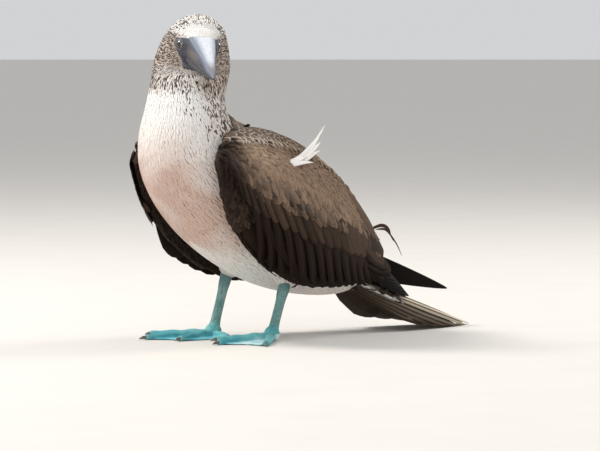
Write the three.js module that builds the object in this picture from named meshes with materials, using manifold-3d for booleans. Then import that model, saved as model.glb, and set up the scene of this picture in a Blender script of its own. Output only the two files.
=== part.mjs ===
// A blue-footed booby standing on both feet with its head turned to its left: a life-size still model.
// Millimetres, +Z up. The bird faces -Y, its left side is +X, and the floor is at zero height.
import * as THREE from "three";
import { mergeVertices } from "three/addons/utils/BufferGeometryUtils.js";
import Module from "manifold-3d";

const wasm = await Module();
wasm.setup();

// Driving sizes
const gap = 0.3; // between neighbouring pieces
const middleOfStance = [0.6, -108.7]; // brings the middle of the outline over the origin
const headTurn = 62; // degrees to the bird's left
const headNod = 16; // degrees down
const headRoll = 3; // degrees, left eye lower
const headCentre = [7.6, -72.7, 353.6]; // between the eyes and just behind them
const eyeRadius = 7.5;
const billBase = 30; // from the head's centre forward to the feather line
const billLength = 95; // from the feather line to the tip
const ankleHeight = 14;
const feet = {
  left: { at: [40, 13.5], turnOut: 5, legTop: [45, 30, 66] },
  right: { at: [-40, -13.5], turnOut: 15, legTop: [-42, 10, 76] },
};
const tailRoot = [0, 158, 71];
const tailTip = [0, 359, 0.9];
const neckCut = { at: [0, -92, 278], lean: 10 }; // degrees, lower at the breast
const headCut = { at: [-3, -74, 324], lean: 16 }; // degrees, lower at the face
const bodySides = 24;

const degrees = Math.PI / 180;
const vec = (x, y, z) => new THREE.Vector3(x, y, z);
const mix = (a, b, t) => a + (b - a) * t;
const towards = (a, b, t) => a.clone().lerp(b, t);

// Closed shapes

// Joins equal rings of points into one closed skin. Sides listed in turned get the other diagonal.
function loft(rings, turned = []) {
  const count = rings[0].length;
  const points = rings.flat();
  const middle = (ring) =>
    ring.reduce((sum, p) => sum.add(p), vec(0, 0, 0)).divideScalar(count);
  const first = points.push(middle(rings[0])) - 1;
  const last = points.push(middle(rings.at(-1))) - 1;
  const end = (rings.length - 1) * count;
  const index = [];
  for (let i = 0; i < count; i++) {
    const j = (i + 1) % count;
    index.push(first, j, i, last, end + i, end + j);
    for (let r = 0; r < end; r += count) {
      const [a, b, c, d] = [r + i, r + j, r + i + count, r + j + count];
      if (turned.includes(i)) index.push(a, b, c, b, d, c);
      else index.push(a, b, d, a, d, c);
    }
  }
  let volume = 0;
  for (let i = 0; i < index.length; i += 3) {
    const [p, q, r] = [0, 1, 2].map((k) => points[index[i + k]]);
    volume += p.clone().cross(q).dot(r);
  }
  if (volume < 0) index.reverse();
  const geometry = new THREE.BufferGeometry().setFromPoints(points);
  return geometry.setIndex(index);
}

function solid(geometry, matrix = new THREE.Matrix4()) {
  const bare = new THREE.BufferGeometry();
  const flat = geometry.index ? geometry : mergeVertices(geometry);
  bare.setAttribute("position", flat.getAttribute("position").clone());
  bare.setIndex(flat.index);
  bare.applyMatrix4(matrix);
  const merged = mergeVertices(bare, 1e-3);
  const kept = [];
  const index = merged.index.array;
  for (let i = 0; i < index.length; i += 3) {
    const [a, b, c] = index.slice(i, i + 3);
    if (a !== b && b !== c && a !== c) kept.push(a, b, c);
  }
  return new wasm.Manifold(
    new wasm.Mesh({
      numProp: 3,
      vertProperties: new Float32Array(merged.attributes.position.array),
      triVerts: new Uint32Array(kept),
    }),
  );
}

const join = (solids) => solids.reduce((all, one) => all.add(one));

// A node keeps its largest closed surface.
function largest(made) {
  const volumes = made.decompose();
  return volumes.reduce((best, one) =>
    one.volume() > best.volume() ? one : best,
  );
}

function node(name, made, colour, roughness = 0.8) {
  const mesh = largest(made).getMesh();
  const positions = new Float32Array(mesh.numVert * 3);
  for (let i = 0; i < mesh.numVert; i++)
    positions.set(
      mesh.vertProperties.subarray(i * mesh.numProp, i * mesh.numProp + 3),
      i * 3,
    );
  const geometry = new THREE.BufferGeometry()
    .setAttribute("position", new THREE.BufferAttribute(positions, 3))
    .setIndex(new THREE.BufferAttribute(new Uint32Array(mesh.triVerts), 1));
  geometry.computeVertexNormals();
  const material = new THREE.MeshStandardMaterial({
    color: colour,
    roughness,
    metalness: 0,
  });
  const made3d = new THREE.Mesh(geometry, material);
  made3d.name = name;
  return made3d;
}

// A large block whose bottom face passes through a point, leaning about the X axis turned by yaw.
function blockAbove(at, lean, yaw = 0, lift = 0) {
  const size = 1200;
  const turn = new THREE.Matrix4().makeRotationZ(yaw * degrees);
  const tip = new THREE.Matrix4().makeRotationX(lean * degrees);
  const place = new THREE.Matrix4().makeTranslation(...at);
  const raise = new THREE.Matrix4().makeTranslation(0, 0, size / 2 + lift);
  return solid(
    new THREE.BoxGeometry(size, size, size),
    place.multiply(turn).multiply(tip).multiply(raise),
  );
}

// Everything further back than y and no higher than top.
function rearBlock(y, top) {
  const size = 600;
  return solid(
    new THREE.BoxGeometry(size, size, size),
    new THREE.Matrix4().makeTranslation(0, y + size / 2, top - size / 2),
  );
}

// A smooth run through a few values, read at any share from 0 to 1.
function smooth(values) {
  const curve = new THREE.CatmullRomCurve3(
    values.map((v) => vec(v[0], v[1] ?? 0, v[2] ?? 0)),
    false,
    "centripetal",
  );
  return (t) => {
    const kept = Math.min(1, Math.max(0, t));
    const inside = kept > 0.5 ? kept - 0.02 : kept + 0.02;
    const point = curve.getPoint(kept);
    const onwards = point.clone().sub(curve.getPoint(inside));
    return point.addScaledVector(onwards, (t - kept) / (kept - inside));
  };
}

// Torso, neck and crown

// Each line: back point y, z; belly point y, z; half width, from the tail's root to the base of the neck.
const torsoLines = [
  [186, 78, 172, 52, 14],
  [184, 100, 142, 46, 33],
  [170, 136, 104, 46, 46],
  [146, 170, 60, 52, 56],
  [112, 201, 10, 66, 62],
  [72, 227, -43, 92, 65],
  [32, 246, -90, 127, 68],
  [0, 257, -122, 165, 67],
  [-22, 266, -139, 202, 63],
  [-33, 277, -142, 240, 56],
  [-35, 296, -134, 277, 49.5],
];

// Level rings of the neck and crown: middle x, y, height, half width, half depth along the face.
const neckLines = [
  [0, -77, 312, 48, 44],
  [-6, -70, 331, 47, 34],
  [-6, -66.5, 353, 41.5, 31],
  [-1, -67, 370, 34.5, 29],
  [2, -68.5, 380.5, 24, 20],
  [3.5, -69, 386.5, 12.5, 11],
  [4, -69, 388.5, 4, 4],
];

function bodyRings(extra = 0) {
  const backs = smooth(torsoLines.map((l) => [l[4], l[0], l[1]]));
  const bellies = smooth(torsoLines.map((l) => [0, l[2], l[3]]));
  const rings = [];
  const steps = 16;
  for (let i = 0; i <= steps; i++) {
    const back = backs(i / steps);
    const belly = bellies(i / steps);
    const half = back.x + extra;
    back.x = 0;
    const centre = towards(back, belly, 0.5);
    const up = back.clone().sub(centre);
    up.setLength(up.length() + extra);
    rings.push(ringAt(centre, vec(half, 0, 0), up));
  }
  const turned = headTurn * degrees;
  const middles = smooth(neckLines.map((l) => [l[0], l[1], l[2]]));
  const sizes = smooth(neckLines.map((l) => [l[3], l[4]]));
  const neckSteps = 12;
  for (let i = 0; i <= neckSteps; i++) {
    const centre = middles(i / neckSteps);
    const size = sizes(i / neckSteps);
    const [a, b] = [size.x + extra, size.y + extra];
    const across = a * Math.cos(turned) ** 2 + b * Math.sin(turned) ** 2;
    const along = a * Math.sin(turned) ** 2 + b * Math.cos(turned) ** 2;
    const shear = (a - b) * Math.sin(turned) * Math.cos(turned);
    rings.push(ringAt(centre, vec(across, shear, 0), vec(shear, along, 0)));
  }
  return rings;
}

function ringAt(centre, side, up) {
  return Array.from({ length: bodySides }, (_, i) => {
    const angle = (i / bodySides) * 2 * Math.PI;
    return centre
      .clone()
      .addScaledVector(side, Math.cos(angle))
      .addScaledVector(up, Math.sin(angle));
  });
}

// The feathered shin that each leg comes out of.
function shin(foot, extra = 0) {
  const [x, y, z] = foot.legTop;
  const ball = new THREE.SphereGeometry(1, 14, 8);
  const place = new THREE.Matrix4()
    .makeTranslation(x * 0.93, y + 5, z + 12)
    .scale(vec(15 + extra, 20 + extra, 19 + extra));
  return solid(ball, place);
}

// Head

const headMatrix = new THREE.Matrix4()
  .makeTranslation(...headCentre)
  .multiply(new THREE.Matrix4().makeRotationZ(headTurn * degrees))
  .multiply(new THREE.Matrix4().makeRotationX(headNod * degrees))
  .multiply(new THREE.Matrix4().makeRotationY(headRoll * degrees));

// Rings of the face, from inside the head to the feather line: forward, half width, top, bottom.
const faceLines = [
  [-24, 32, 24, -36],
  [-8, 34.5, 27.5, -40],
  [2, 32.5, 27, -38.5],
  [9, 28.5, 25.5, -35.5],
  [16, 23.5, 23, -31],
  [22, 20, 20.8, -26.5],
  [billBase, 17.6, 17.2, -20.5],
];

function faceRing([forward, half, top, bottom], sides = 18) {
  return Array.from({ length: sides }, (_, i) => {
    const angle = (i / sides) * 2 * Math.PI;
    const rise = Math.sin(angle) > 0 ? top : -bottom;
    const full = (v) => Math.sign(v) * Math.abs(v) ** 0.88;
    return vec(
      half * full(Math.cos(angle)),
      -forward,
      rise * full(Math.sin(angle)),
    );
  });
}

// Lines of the bill: forward share, top, flat half width, half width, cutting edge, underside.
const billLines = [
  [0, 16.2, 15, 17, -8.6, -18.6],
  [0.16, 14, 13.2, 15.4, -8.4, -18.4],
  [0.32, 11.3, 11.2, 13.4, -8, -17.4],
  [0.48, 8.3, 8.5, 10.8, -7.5, -15.4],
  [0.64, 5.2, 6, 8.3, -7, -13.2],
  [0.79, 2, 4.3, 6.2, -6.4, -10.9],
  [0.89, -0.4, 3, 4.5, -6, -9.2],
  [0.96, -2.8, 1.7, 2.7, -6.2, -7.9],
];

function upperBill() {
  const rings = billLines.map(([share, top, flat, half, edge]) => {
    const y = -(billBase + gap + share * billLength);
    const side = [
      [flat, top - 0.4],
      [flat + 0.9, top - 1.9],
      [half, mix(top, edge, 0.55)],
      [half - 0.8, edge],
    ];
    return [
      vec(0, y, top + 0.3),
      ...side.map(([x, z]) => vec(x, y, z)),
      vec(0, y, edge + 0.4),
      ...side.reverse().map(([x, z]) => vec(-x, y, z)),
    ];
  });
  const tip = billBase + billLength;
  rings.push(rings[0].map((p) => vec(p.x * 0.03, -tip, -6.6 + p.z * 0.02)));
  return solid(loft(rings));
}

function lowerBill() {
  const rings = billLines.map(([share, , , half, edge, under]) => {
    const y = -(billBase + gap + share * billLength);
    const top = edge - gap - 0.1;
    const side = [
      [half - 1.1, top],
      [half - 0.9, mix(top, under, 0.45)],
      [half * 0.55, mix(top, under, 0.92)],
    ];
    return [
      vec(0, y, top),
      ...side.map(([x, z]) => vec(x, y, z)),
      vec(0, y, under),
      ...side.reverse().map(([x, z]) => vec(-x, y, z)),
    ];
  });
  return solid(loft(rings));
}

// Eyes look out and forward from beside the bill.
const eyeSide = 48; // degrees out from the bill's line
const eyePlace = (side) => vec(side * 19.2, -13, 2);

function eyeMatrix(side) {
  return new THREE.Matrix4()
    .makeTranslation(...eyePlace(side))
    .multiply(new THREE.Matrix4().makeRotationZ(side * eyeSide * degrees))
    .multiply(new THREE.Matrix4().makeRotationX(90 * degrees));
}

function lid(side) {
  const ring = new THREE.TorusGeometry(eyeRadius - 1.4, 1.5, 5, 16);
  const lift = new THREE.Matrix4().makeTranslation(0, 0, 4.6);
  return solid(ring, headMatrix.clone().multiply(eyeMatrix(side)).multiply(lift));
}

// A shallow groove that carries the line of the mouth back under each eye.
function gape(side) {
  const box = new THREE.BoxGeometry(9, 24, 0.9);
  const place = new THREE.Matrix4()
    .makeTranslation(side * 23.5, -19, -8.8)
    .multiply(new THREE.Matrix4().makeRotationZ(side * 40 * degrees));
  return solid(box, headMatrix.clone().multiply(place));
}

function flesh(extra = 0) {
  return join([
    solid(loft(bodyRings(extra))),
    shin(feet.left, extra),
    shin(feet.right, extra),
  ]);
}

// Feathers

let seed = 11;

function varied(spread) {
  seed = (seed * 16807) % 2147483647;
  return 1 + spread * ((2 * seed) / 2147483647 - 1);
}

// Share of a feather's length, share of its width there.
const longFeather = [
  [0, 0.5],
  [0.3, 0.95],
  [0.65, 1],
  [0.9, 0.66],
  [1, 0.14],
];
const shortFeather = [
  [0, 0.6],
  [0.5, 1],
  [0.85, 0.75],
  [1, 0.2],
];

// One feather along a way that gives its spine and its outward direction at each share of its length.
function vane(way, { width, thick, twist = 0, shape = longFeather, mirror = 1 }) {
  const rings = shape.map(([share, wide]) => {
    const { at, out } = way(share);
    const along = way(share + 0.04).at.sub(way(share - 0.04).at).normalize();
    const across = along.clone().cross(out).normalize();
    const up = across.clone().cross(along).normalize();
    const half = (width / 2) * wide;
    const [ridge, edge] = [thick * 0.7, thick * 0.25];
    const section = [
      [-half, edge + twist * half],
      [0, ridge],
      [half, edge - twist * half],
      [half, -edge - twist * half],
      [-half, -edge + twist * half],
    ];
    return section.map(([a, b]) => {
      const p = at.clone().addScaledVector(across, a).addScaledVector(up, b);
      return vec(p.x * mirror, p.y, p.z);
    });
  });
  return solid(loft(rings));
}

// Wings, folded against the flanks. All are drawn for the left side and mirrored for the right.

// Each rib: upper x, y, z; lower x, y, z; bulge of the outside; thickness. From the wrist to the rear.
const wingRibs = [
  [84, -88, 237, 90, -93, 206, 5, 17],
  [69, -58, 243, 88, -80, 166, 14, 29],
  [55, -19, 243, 85, -56, 128, 21, 36],
  [42, 33, 234, 80, -19, 95, 26, 36],
  [33, 81, 217, 73, 25, 71, 27, 32],
  [26, 126, 190, 62, 72, 62, 24, 24],
  [20, 161, 159, 52, 118, 58, 18, 16],
  [17, 188, 128, 43, 158, 60, 11, 12],
  [18, 206, 102, 36, 190, 70, 6, 9],
];
const wingSunk = 4; // the body of the wing below the coverts and flight feathers
const wingUpper = smooth(wingRibs.map((r) => r.slice(0, 3)));
const wingLower = smooth(wingRibs.map((r) => r.slice(3, 6)));
const wingBody = smooth(wingRibs.map((r) => r.slice(6, 8)));

function wingOut(s) {
  const step = 0.02;
  const middle = (t) => towards(wingUpper(t), wingLower(t), 0.5);
  const along = middle(s + step).sub(middle(s - step));
  const down = wingLower(s).sub(wingUpper(s));
  return down.cross(along).normalize();
}

// A point of the wing's outside: s runs back from the wrist, t runs down from the shoulder line.
function wingPoint(s, t, depth = 0) {
  const size = wingBody(s);
  const inside = Math.max(0, 4 * t * (1 - t));
  const lens = inside > 0 ? inside ** 0.65 : 4 * t * (1 - t);
  const room = size.y * (0.3 + 0.7 * Math.sqrt(inside));
  return towards(wingUpper(s), wingLower(s), t).addScaledVector(
    wingOut(s),
    size.x * lens - depth * room,
  );
}

function wingCore(mirror) {
  const ribs = 11;
  const rows = 6;
  const rings = [];
  for (let i = 0; i <= ribs; i++) {
    const outer = [];
    const inner = [];
    for (let k = 0; k <= rows; k++) {
      const [s, t] = [i / ribs, k / rows];
      const under = t > 0.4 ? wingSunk : 0;
      outer.push(wingPoint(s, t).addScaledVector(wingOut(s), -under));
      inner.push(wingPoint(s, 1 - t, 1));
    }
    rings.push([...outer, ...inner].map((p) => vec(p.x * mirror, p.y, p.z)));
  }
  return solid(loft(rings));
}

// Rows of wing feathers from the shoulder down, with the width and thickness of a feather in each.
const wingRows = [
  { count: 8, s: [0.06, 0.83], t: [0.4, 0.34], reach: [0.14, 0.3], size: [42, 1.8], lift: 2.6, short: true },
  { count: 8, s: [0.28, 0.82], t: [0.58, 0.46], reach: [0.17, 0.45], size: [31, 2], lift: 0.4, twist: 0.14 },
  { count: 3, s: [0.04, 0.26], t: [0.8, 0.84], reach: [0.3, 0.15], size: [28, 2.4], lift: 0 },
  { count: 3, s: [0.66, 0.76], t: [0.2, 0.64], reach: [0.25, 0.08], size: [30, 2.2], lift: 0.6 },
];

function rowFeathers(row, mirror) {
  return Array.from({ length: row.count }, (_, i) => {
    const share = i / (row.count - 1);
    const from = [mix(...row.s, share), mix(...row.t, share)];
    const reach = row.reach.map((r) => r * varied(0.09));
    const lift = row.lift * varied(0.1);
    const way = (step) => {
      const [s, t] = [from[0] + reach[0] * step, from[1] + reach[1] * step];
      const out = wingOut(Math.min(1, s));
      const rise = lift * Math.min(1, 2.4 * step) - 4 * Math.max(0, 1 - 3 * step);
      return { at: wingPoint(s, t).addScaledVector(out, rise), out };
    };
    return vane(way, {
      width: row.size[0] * varied(0.08),
      thick: row.size[1],
      twist: row.twist ?? 0.09,
      shape: row.short ? shortFeather : longFeather,
      mirror,
    });
  });
}

// A bent feather through given points.
function bentVane(points, out, options) {
  const spine = smooth(points);
  return vane((share) => ({ at: spine(share), out: vec(...out) }), options);
}

// The scapulars roof the gap between the back and the folded wing.
function scapulars(mirror) {
  return Array.from({ length: 6 }, (_, i) => {
    const share = i / 5;
    const from = towards(wingUpper(0.12 + 0.46 * share), vec(36, -20, 252), 0.1);
    const to = wingPoint(0.3 + 0.5 * share, 0.13 * varied(0.3));
    const points = [
      from.add(vec(-6, 0, -3)).toArray(),
      towards(from, to, 0.5).add(vec(3, 0, 2.5)).toArray(),
      to.add(vec(3, 0, 1)).toArray(),
    ];
    return bentVane(points, [0.6, 0, 0.8], {
      width: 42 * varied(0.1),
      thick: 2.4,
      twist: 0.1,
      mirror,
    });
  });
}

// A ruffled white feather stands up out of the left scapulars, with two split sides.
const ruffled = [
  { points: [[71, 2, 208], [71, 20, 214], [63, 52, 225], [50, 88, 256]], width: 12 },
  { points: [[68, 26, 214], [65, 44, 220], [59, 64, 228], [53, 79, 236]], width: 9 },
  { points: [[68, 24, 213], [66, 42, 217], [61, 60, 222], [57, 73, 226]], width: 9 },
];

// A worn tag of feather hangs from the rear of the left wing.
const hangingTag = [
  { points: [[22, 176, 124], [24, 200, 131], [24, 211, 126], [24, 215, 116]], width: 13 },
  { points: [[24, 206, 129], [24, 214, 119], [24, 224, 107], [23, 234, 91]], width: 5 },
];

// Folded primaries, staggered from the shortest and outermost to the longest.
const primaries = {
  left: { tip: [24, 244, 42], top: 88, steps: [0, 14, 29, 46, 60] },
  right: { tip: [2, 330, 46], top: 112, steps: [0, 18, 40, 64, 90] },
};
const wingEnd = 194; // the primaries start behind here

function primaryFan(side, mirror) {
  const { tip, steps } = primaries[side];
  const root = vec(34, 146, 98);
  const along = vec(...tip).sub(root).normalize();
  const blades = steps.map((step, i) => {
    const end = vec(...tip).addScaledVector(along, -step).add(vec(i, 0, i * 2.6));
    const start = root.clone().add(vec(i, 0, i * 1.5));
    const way = (share) => ({ at: towards(start, end, share), out: vec(0.9, 0.1, 0.45) });
    return vane(way, { width: mix(34, 28, i / 4), thick: 3, twist: 0.12, mirror });
  });
  const stem = vec(...tip).addScaledVector(along, -steps.at(-1) - 12);
  const core = [0, 0.5, 1].map((share) => {
    const centre = towards(root, stem, share);
    const half = mix(20, 4, share);
    return [
      [-1, -half],
      [4, 0],
      [-1, half],
      [-4, 0],
    ].map(([x, z]) => vec((centre.x + x) * mirror, centre.y, centre.z + z));
  });
  return join([solid(loft(core)), ...blades]);
}

// Tail

// Pairs of tail feathers from the middle outwards: how far the tip is back, out and below the middle pair.
const tailPairs = [
  { tip: 359, out: 6, drop: 0, width: 22 },
  { tip: 345, out: 15, drop: 4, width: 25 },
  { tip: 325, out: 22, drop: 9, width: 26 },
  { tip: 303, out: 28, drop: 13.5, width: 26 },
  { tip: 281, out: 32, drop: 17.5, width: 25 },
  { tip: 260, out: 35, drop: 21, width: 24 },
];
const tailStart = 176;

function tailSpine(y, out, drop) {
  const share = (y - tailRoot[1]) / (tailTip[1] - tailRoot[1]);
  return vec(out, y, mix(tailRoot[2], tailTip[2], share) - drop);
}

function tailFeathers() {
  const made = [];
  for (const side of [1, -1]) {
    tailPairs.forEach(({ tip, out, drop, width }, i) => {
      const end = tip - (side < 0 ? 3 * i : 0);
      const way = (share) => {
        const y = mix(tailRoot[1], end, share);
        const spread = Math.min(1, share * 1.4);
        const sink = drop * Math.min(1, 0.35 + share) + i * 1.1;
        const at = tailSpine(y, side * mix(out * 0.45, out, spread), sink);
        return { at, out: vec(side * 0.05 * i, 0.2, 1) };
      };
      made.push(vane(way, { width, thick: 2.8 - i * 0.1, twist: -side * 0.1 }));
    });
  }
  return made;
}

// The coverts swell over and under the roots of the tail feathers.
function tailCoverts() {
  const lines = [
    [170, 14, 8, 2],
    [190, 22, 13, 1],
    [214, 27, 9.5, -2],
    [232, 24, 7, -4],
    [248, 14, 3.5, -5],
  ];
  const rings = lines.map(([y, half, high, shift]) => {
    const centre = tailSpine(y, 0, -shift);
    return Array.from({ length: 14 }, (_, i) => {
      const angle = (i / 14) * 2 * Math.PI;
      const sag = 6 * Math.cos(angle) ** 2;
      return vec(centre.x + half * Math.cos(angle), y, centre.z + high * Math.sin(angle) - sag);
    });
  });
  const over = [-1, 0, 1].map((i) => {
    const way = (share) => ({
      at: tailSpine(mix(188, 262 - 14 * Math.abs(i), share), 13 * i, mix(-8, -2, share)),
      out: vec(i * 0.25, 0.2, 1),
    });
    return vane(way, { width: 22, thick: 2.4 });
  });
  return [solid(loft(rings)), ...over];
}

// Legs and feet

function leg(foot) {
  const top = vec(...foot.legTop);
  const bottom = vec(foot.at[0], foot.at[1], 5);
  // Share of the way down, half width across, half width fore and aft.
  const lines = [
    [0, 6.4, 8.2],
    [0.14, 6.2, 8],
    [0.28, 4.9, 6.9],
    [0.5, 4.4, 6.6],
    [0.75, 4.6, 6.8],
    [0.9, 6, 8],
    [1, 7.2, 9],
  ];
  const rings = lines.map(([share, a, b]) => {
    const centre = towards(top, bottom, share);
    return Array.from({ length: 12 }, (_, i) => {
      const angle = (i / 12) * 2 * Math.PI;
      return centre
        .clone()
        .add(vec(a * Math.cos(angle), b * Math.sin(angle), 0));
    });
  });
  return solid(loft(rings));
}

// Toes of the left foot: degrees outwards from straight ahead, length to the claw, claw length.
const toes = [
  { angle: -104, length: 33, claw: 7 },
  { angle: -31, length: 66, claw: 8 },
  { angle: 0, length: 86, claw: 9 },
  { angle: 42, length: 79, claw: 8 },
];
const toeEnd = 3.4; // half thickness at the claw

const toeWay = (angle) =>
  vec(Math.sin(angle * degrees), -Math.cos(angle * degrees), 0);

function toeRing(way, reach, wide, high, lift, sides = 6) {
  const across = vec(-way.y, way.x, 0);
  return Array.from({ length: sides }, (_, i) => {
    const angle = ((i + 0.5) / sides) * 2 * Math.PI;
    return way
      .clone()
      .multiplyScalar(reach)
      .addScaledVector(across, wide * Math.cos(angle))
      .add(vec(0, 0, lift + high * Math.sin(angle)));
  });
}

function toe({ angle, length }) {
  const way = toeWay(angle);
  const steps = 4;
  const rings = [];
  for (let i = 0; i <= steps; i++) {
    const share = i / steps;
    const knuckle = 1 + 0.08 * Math.cos(share * 4 * Math.PI);
    const wide = mix(6, toeEnd, share) * knuckle;
    const high = mix(6.6, toeEnd, share ** 0.7) * knuckle;
    rings.push(toeRing(way, share * length, wide, high, high * 0.86));
  }
  return solid(loft(rings));
}

// A web between two toes, hollowed along its front edge.
function web(a, b) {
  const across = 4;
  const out = 3;
  const deep = 0.1 + (b.angle - a.angle) / 400;
  const rings = [];
  for (let k = 0; k <= out; k++) {
    const top = [];
    const under = [];
    for (let i = 0; i <= across; i++) {
      const share = i / across;
      const way = toeWay(mix(a.angle, b.angle, share));
      const hollow = 1 - deep * Math.sin(Math.PI * share);
      const reach = mix(3, mix(a.length, b.length, share) * hollow * 0.96, k / out);
      const sag = 0.8 * Math.sin(Math.PI * share);
      const height = mix(4.6, 2.5, k / out) - sag;
      const p = way.multiplyScalar(reach);
      top.push(vec(p.x, p.y, height));
      under.unshift(vec(p.x, p.y, height - 1.6));
    }
    rings.push([...top, ...under]);
  }
  const undersides = Array.from({ length: across }, (_, i) => across + 1 + i);
  return solid(loft(rings, undersides));
}

function footSolid() {
  const heel = solid(
    new THREE.SphereGeometry(1, 10, 6),
    new THREE.Matrix4().makeTranslation(0, 1, 7).scale(vec(8.6, 10.5, 11)),
  );
  const above = solid(
    new THREE.BoxGeometry(400, 400, ankleHeight),
    new THREE.Matrix4().makeTranslation(0, 0, ankleHeight / 2),
  );
  const webs = [0, 1, 2].map((i) => web(toes[i], toes[i + 1]));
  return join([heel, ...toes.map(toe), ...webs]).intersect(above);
}

function claw({ angle, length, claw: reach }) {
  const way = toeWay(angle);
  const start = length + gap;
  const lines = [
    [0, 2.3, 2.4, 3],
    [0.4, 1.9, 2.1, 3.2],
    [0.75, 1.2, 1.4, 2.6],
    [1, 0.4, 0.5, 1.4],
  ];
  return solid(
    loft(
      lines.map(([share, wide, high, lift]) =>
        toeRing(way, start + share * reach, wide, high, lift),
      ),
    ),
  );
}

// The whole bird

const colours = {
  white: "#e9e4de",
  brown: "#4a3a2e",
  dark: "#26201d",
  pale: "#cbb9a4",
  bill: "#aeb6c2",
  skin: "#4b4c55",
  foot: "#58b6bd",
  claw: "#6e6a66",
  eye: "#d8cf9a",
};

const bird = new THREE.Group();

const wholeBody = flesh();
const aboveNeck = blockAbove(neckCut.at, -neckCut.lean);
const aboveHead = blockAbove(headCut.at, headCut.lean, headTurn);
const face = solid(loft(faceLines.map((l) => faceRing(l))), headMatrix);
const sockets = [1, -1].map((side) =>
  solid(
    new THREE.SphereGeometry(eyeRadius + gap, 14, 8),
    headMatrix.clone().multiply(eyeMatrix(side)),
  ),
);
const column = wholeBody.intersect(aboveNeck);
const headSolid = join([column.intersect(aboveHead), face, lid(1), lid(-1)])
  .subtract(join([...sockets, gape(1), gape(-1)]));
const neckSolid = column
  .intersect(blockAbove(neckCut.at, -neckCut.lean, 0, gap))
  .subtract(blockAbove(headCut.at, headCut.lean, headTurn, -gap));

const faceClear = faceLines.map(([forward, half, top, bottom]) =>
  faceRing([forward, half + gap, top + gap, bottom - gap]),
);

bird.add(node("torso", wholeBody.subtract(aboveNeck), colours.white));
bird.add(
  node(
    "neck",
    neckSolid.subtract(solid(loft(faceClear), headMatrix)),
    colours.white,
  ),
);
bird.add(node("head", headSolid, colours.white));

const headGroup = new THREE.Group();
headMatrix.decompose(
  headGroup.position,
  headGroup.quaternion,
  headGroup.scale,
);
headGroup.add(node("bill_upper", upperBill(), colours.bill, 0.45));
headGroup.add(node("bill_lower", lowerBill(), colours.skin, 0.5));
for (const [name, side] of Object.entries({ left: 1, right: -1 })) {
  const eye = solid(new THREE.SphereGeometry(eyeRadius, 14, 8));
  const mesh = node("eye_" + name, eye, colours.eye, 0.15);
  mesh.position.copy(eyePlace(side));
  headGroup.add(mesh);
}
bird.add(headGroup);

const roomForWings = flesh(gap);
for (const [side, mirror] of Object.entries({ left: 1, right: -1 })) {
  const pieces = [
    wingCore(mirror),
    ...wingRows.flatMap((row) => rowFeathers(row, mirror)),
    ...scapulars(mirror),
  ];
  if (side === "left") {
    const loose = (list, out, thick) =>
      list.map((one) => bentVane(one.points, out, { width: one.width, thick }));
    pieces.push(...loose(ruffled, [1, 0.2, 0.3], 1.6));
    pieces.push(...loose(hangingTag, [1, 0.2, 0.1], 1.4));
  }
  const { top } = primaries[side];
  const fan = primaryFan(side, mirror).intersect(rearBlock(wingEnd + gap / 2, top));
  const wing = join(pieces)
    .subtract(rearBlock(wingEnd - gap / 2, top + gap))
    .subtract(roomForWings);
  bird.add(node("wing_" + side, wing, colours.brown));
  bird.add(node("primaries_" + side, fan, colours.dark));
}

const floor = blockAbove([0, 0, 0], 0);
const tailSolid = join([...tailCoverts(), ...tailFeathers()])
  .subtract(roomForWings)
  .intersect(rearBlock(tailStart, 600))
  .intersect(floor);
bird.add(node("tail", tailSolid, colours.pale));

for (const [side, foot] of Object.entries(feet)) {
  const below = solid(
    new THREE.BoxGeometry(600, 600, 600),
    new THREE.Matrix4().makeTranslation(0, 0, ankleHeight + gap - 300),
  );
  bird.add(
    node("leg_" + side, leg(foot).subtract(roomForWings).subtract(below), colours.foot),
  );
  const sole = new THREE.Group();
  sole.position.set(...foot.at, 0);
  const mirrored = side === "right" ? -1 : 1;
  sole.rotation.z = mirrored * foot.turnOut * degrees;
  sole.scale.set(mirrored, 1, 1);
  sole.add(node("foot_" + side, footSolid(), colours.foot));
  toes.forEach((t, i) =>
    sole.add(node(`claw_${side}_${i + 1}`, claw(t), colours.claw, 0.4)),
  );
  bird.add(sole);
}

bird.position.set(...middleOfStance, 0);

const root = new THREE.Group();
root.add(bird);
export default root;
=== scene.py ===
import math

import bpy
import numpy as np
from mathutils import Matrix, Vector, kdtree
from mathutils.bvhtree import BVHTree


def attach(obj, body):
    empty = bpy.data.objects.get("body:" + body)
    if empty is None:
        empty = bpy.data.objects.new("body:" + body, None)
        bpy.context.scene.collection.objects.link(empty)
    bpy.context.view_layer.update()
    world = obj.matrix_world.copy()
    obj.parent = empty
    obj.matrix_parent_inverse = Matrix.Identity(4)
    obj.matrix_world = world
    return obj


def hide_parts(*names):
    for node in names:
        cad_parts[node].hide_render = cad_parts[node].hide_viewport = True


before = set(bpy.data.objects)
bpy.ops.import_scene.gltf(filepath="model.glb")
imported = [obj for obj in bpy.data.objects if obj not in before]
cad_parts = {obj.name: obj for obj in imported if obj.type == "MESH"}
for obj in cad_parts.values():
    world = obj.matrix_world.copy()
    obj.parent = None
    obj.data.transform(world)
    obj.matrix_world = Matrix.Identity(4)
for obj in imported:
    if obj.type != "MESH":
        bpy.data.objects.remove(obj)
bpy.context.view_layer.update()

# The bird's own frame is in millimetres: it faces -Y, its left side is +X and it stands round the origin.
stance = np.array([0.6, -108.7, 0.0])  # from there to the part's own middle
draw = np.random.default_rng(7)


# Small helpers

def tone(red, green, blue):  # a colour as it looks on a screen, 0 to 255
    return np.array([((v / 255 + 0.055) / 1.055) ** 2.4 if v > 10 else v / 3295 for v in (red, green, blue)])


def unit(vectors):
    return vectors / np.maximum(np.linalg.norm(vectors, axis=-1, keepdims=True), 1e-9)


def fade(values, low, high):  # 0 below low, 1 above high, soft between
    t = np.clip((values - low) / (high - low), 0, 1)
    return t * t * (3 - 2 * t)


def mixed(a, b, share):
    return a + (b - a) * share


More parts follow.
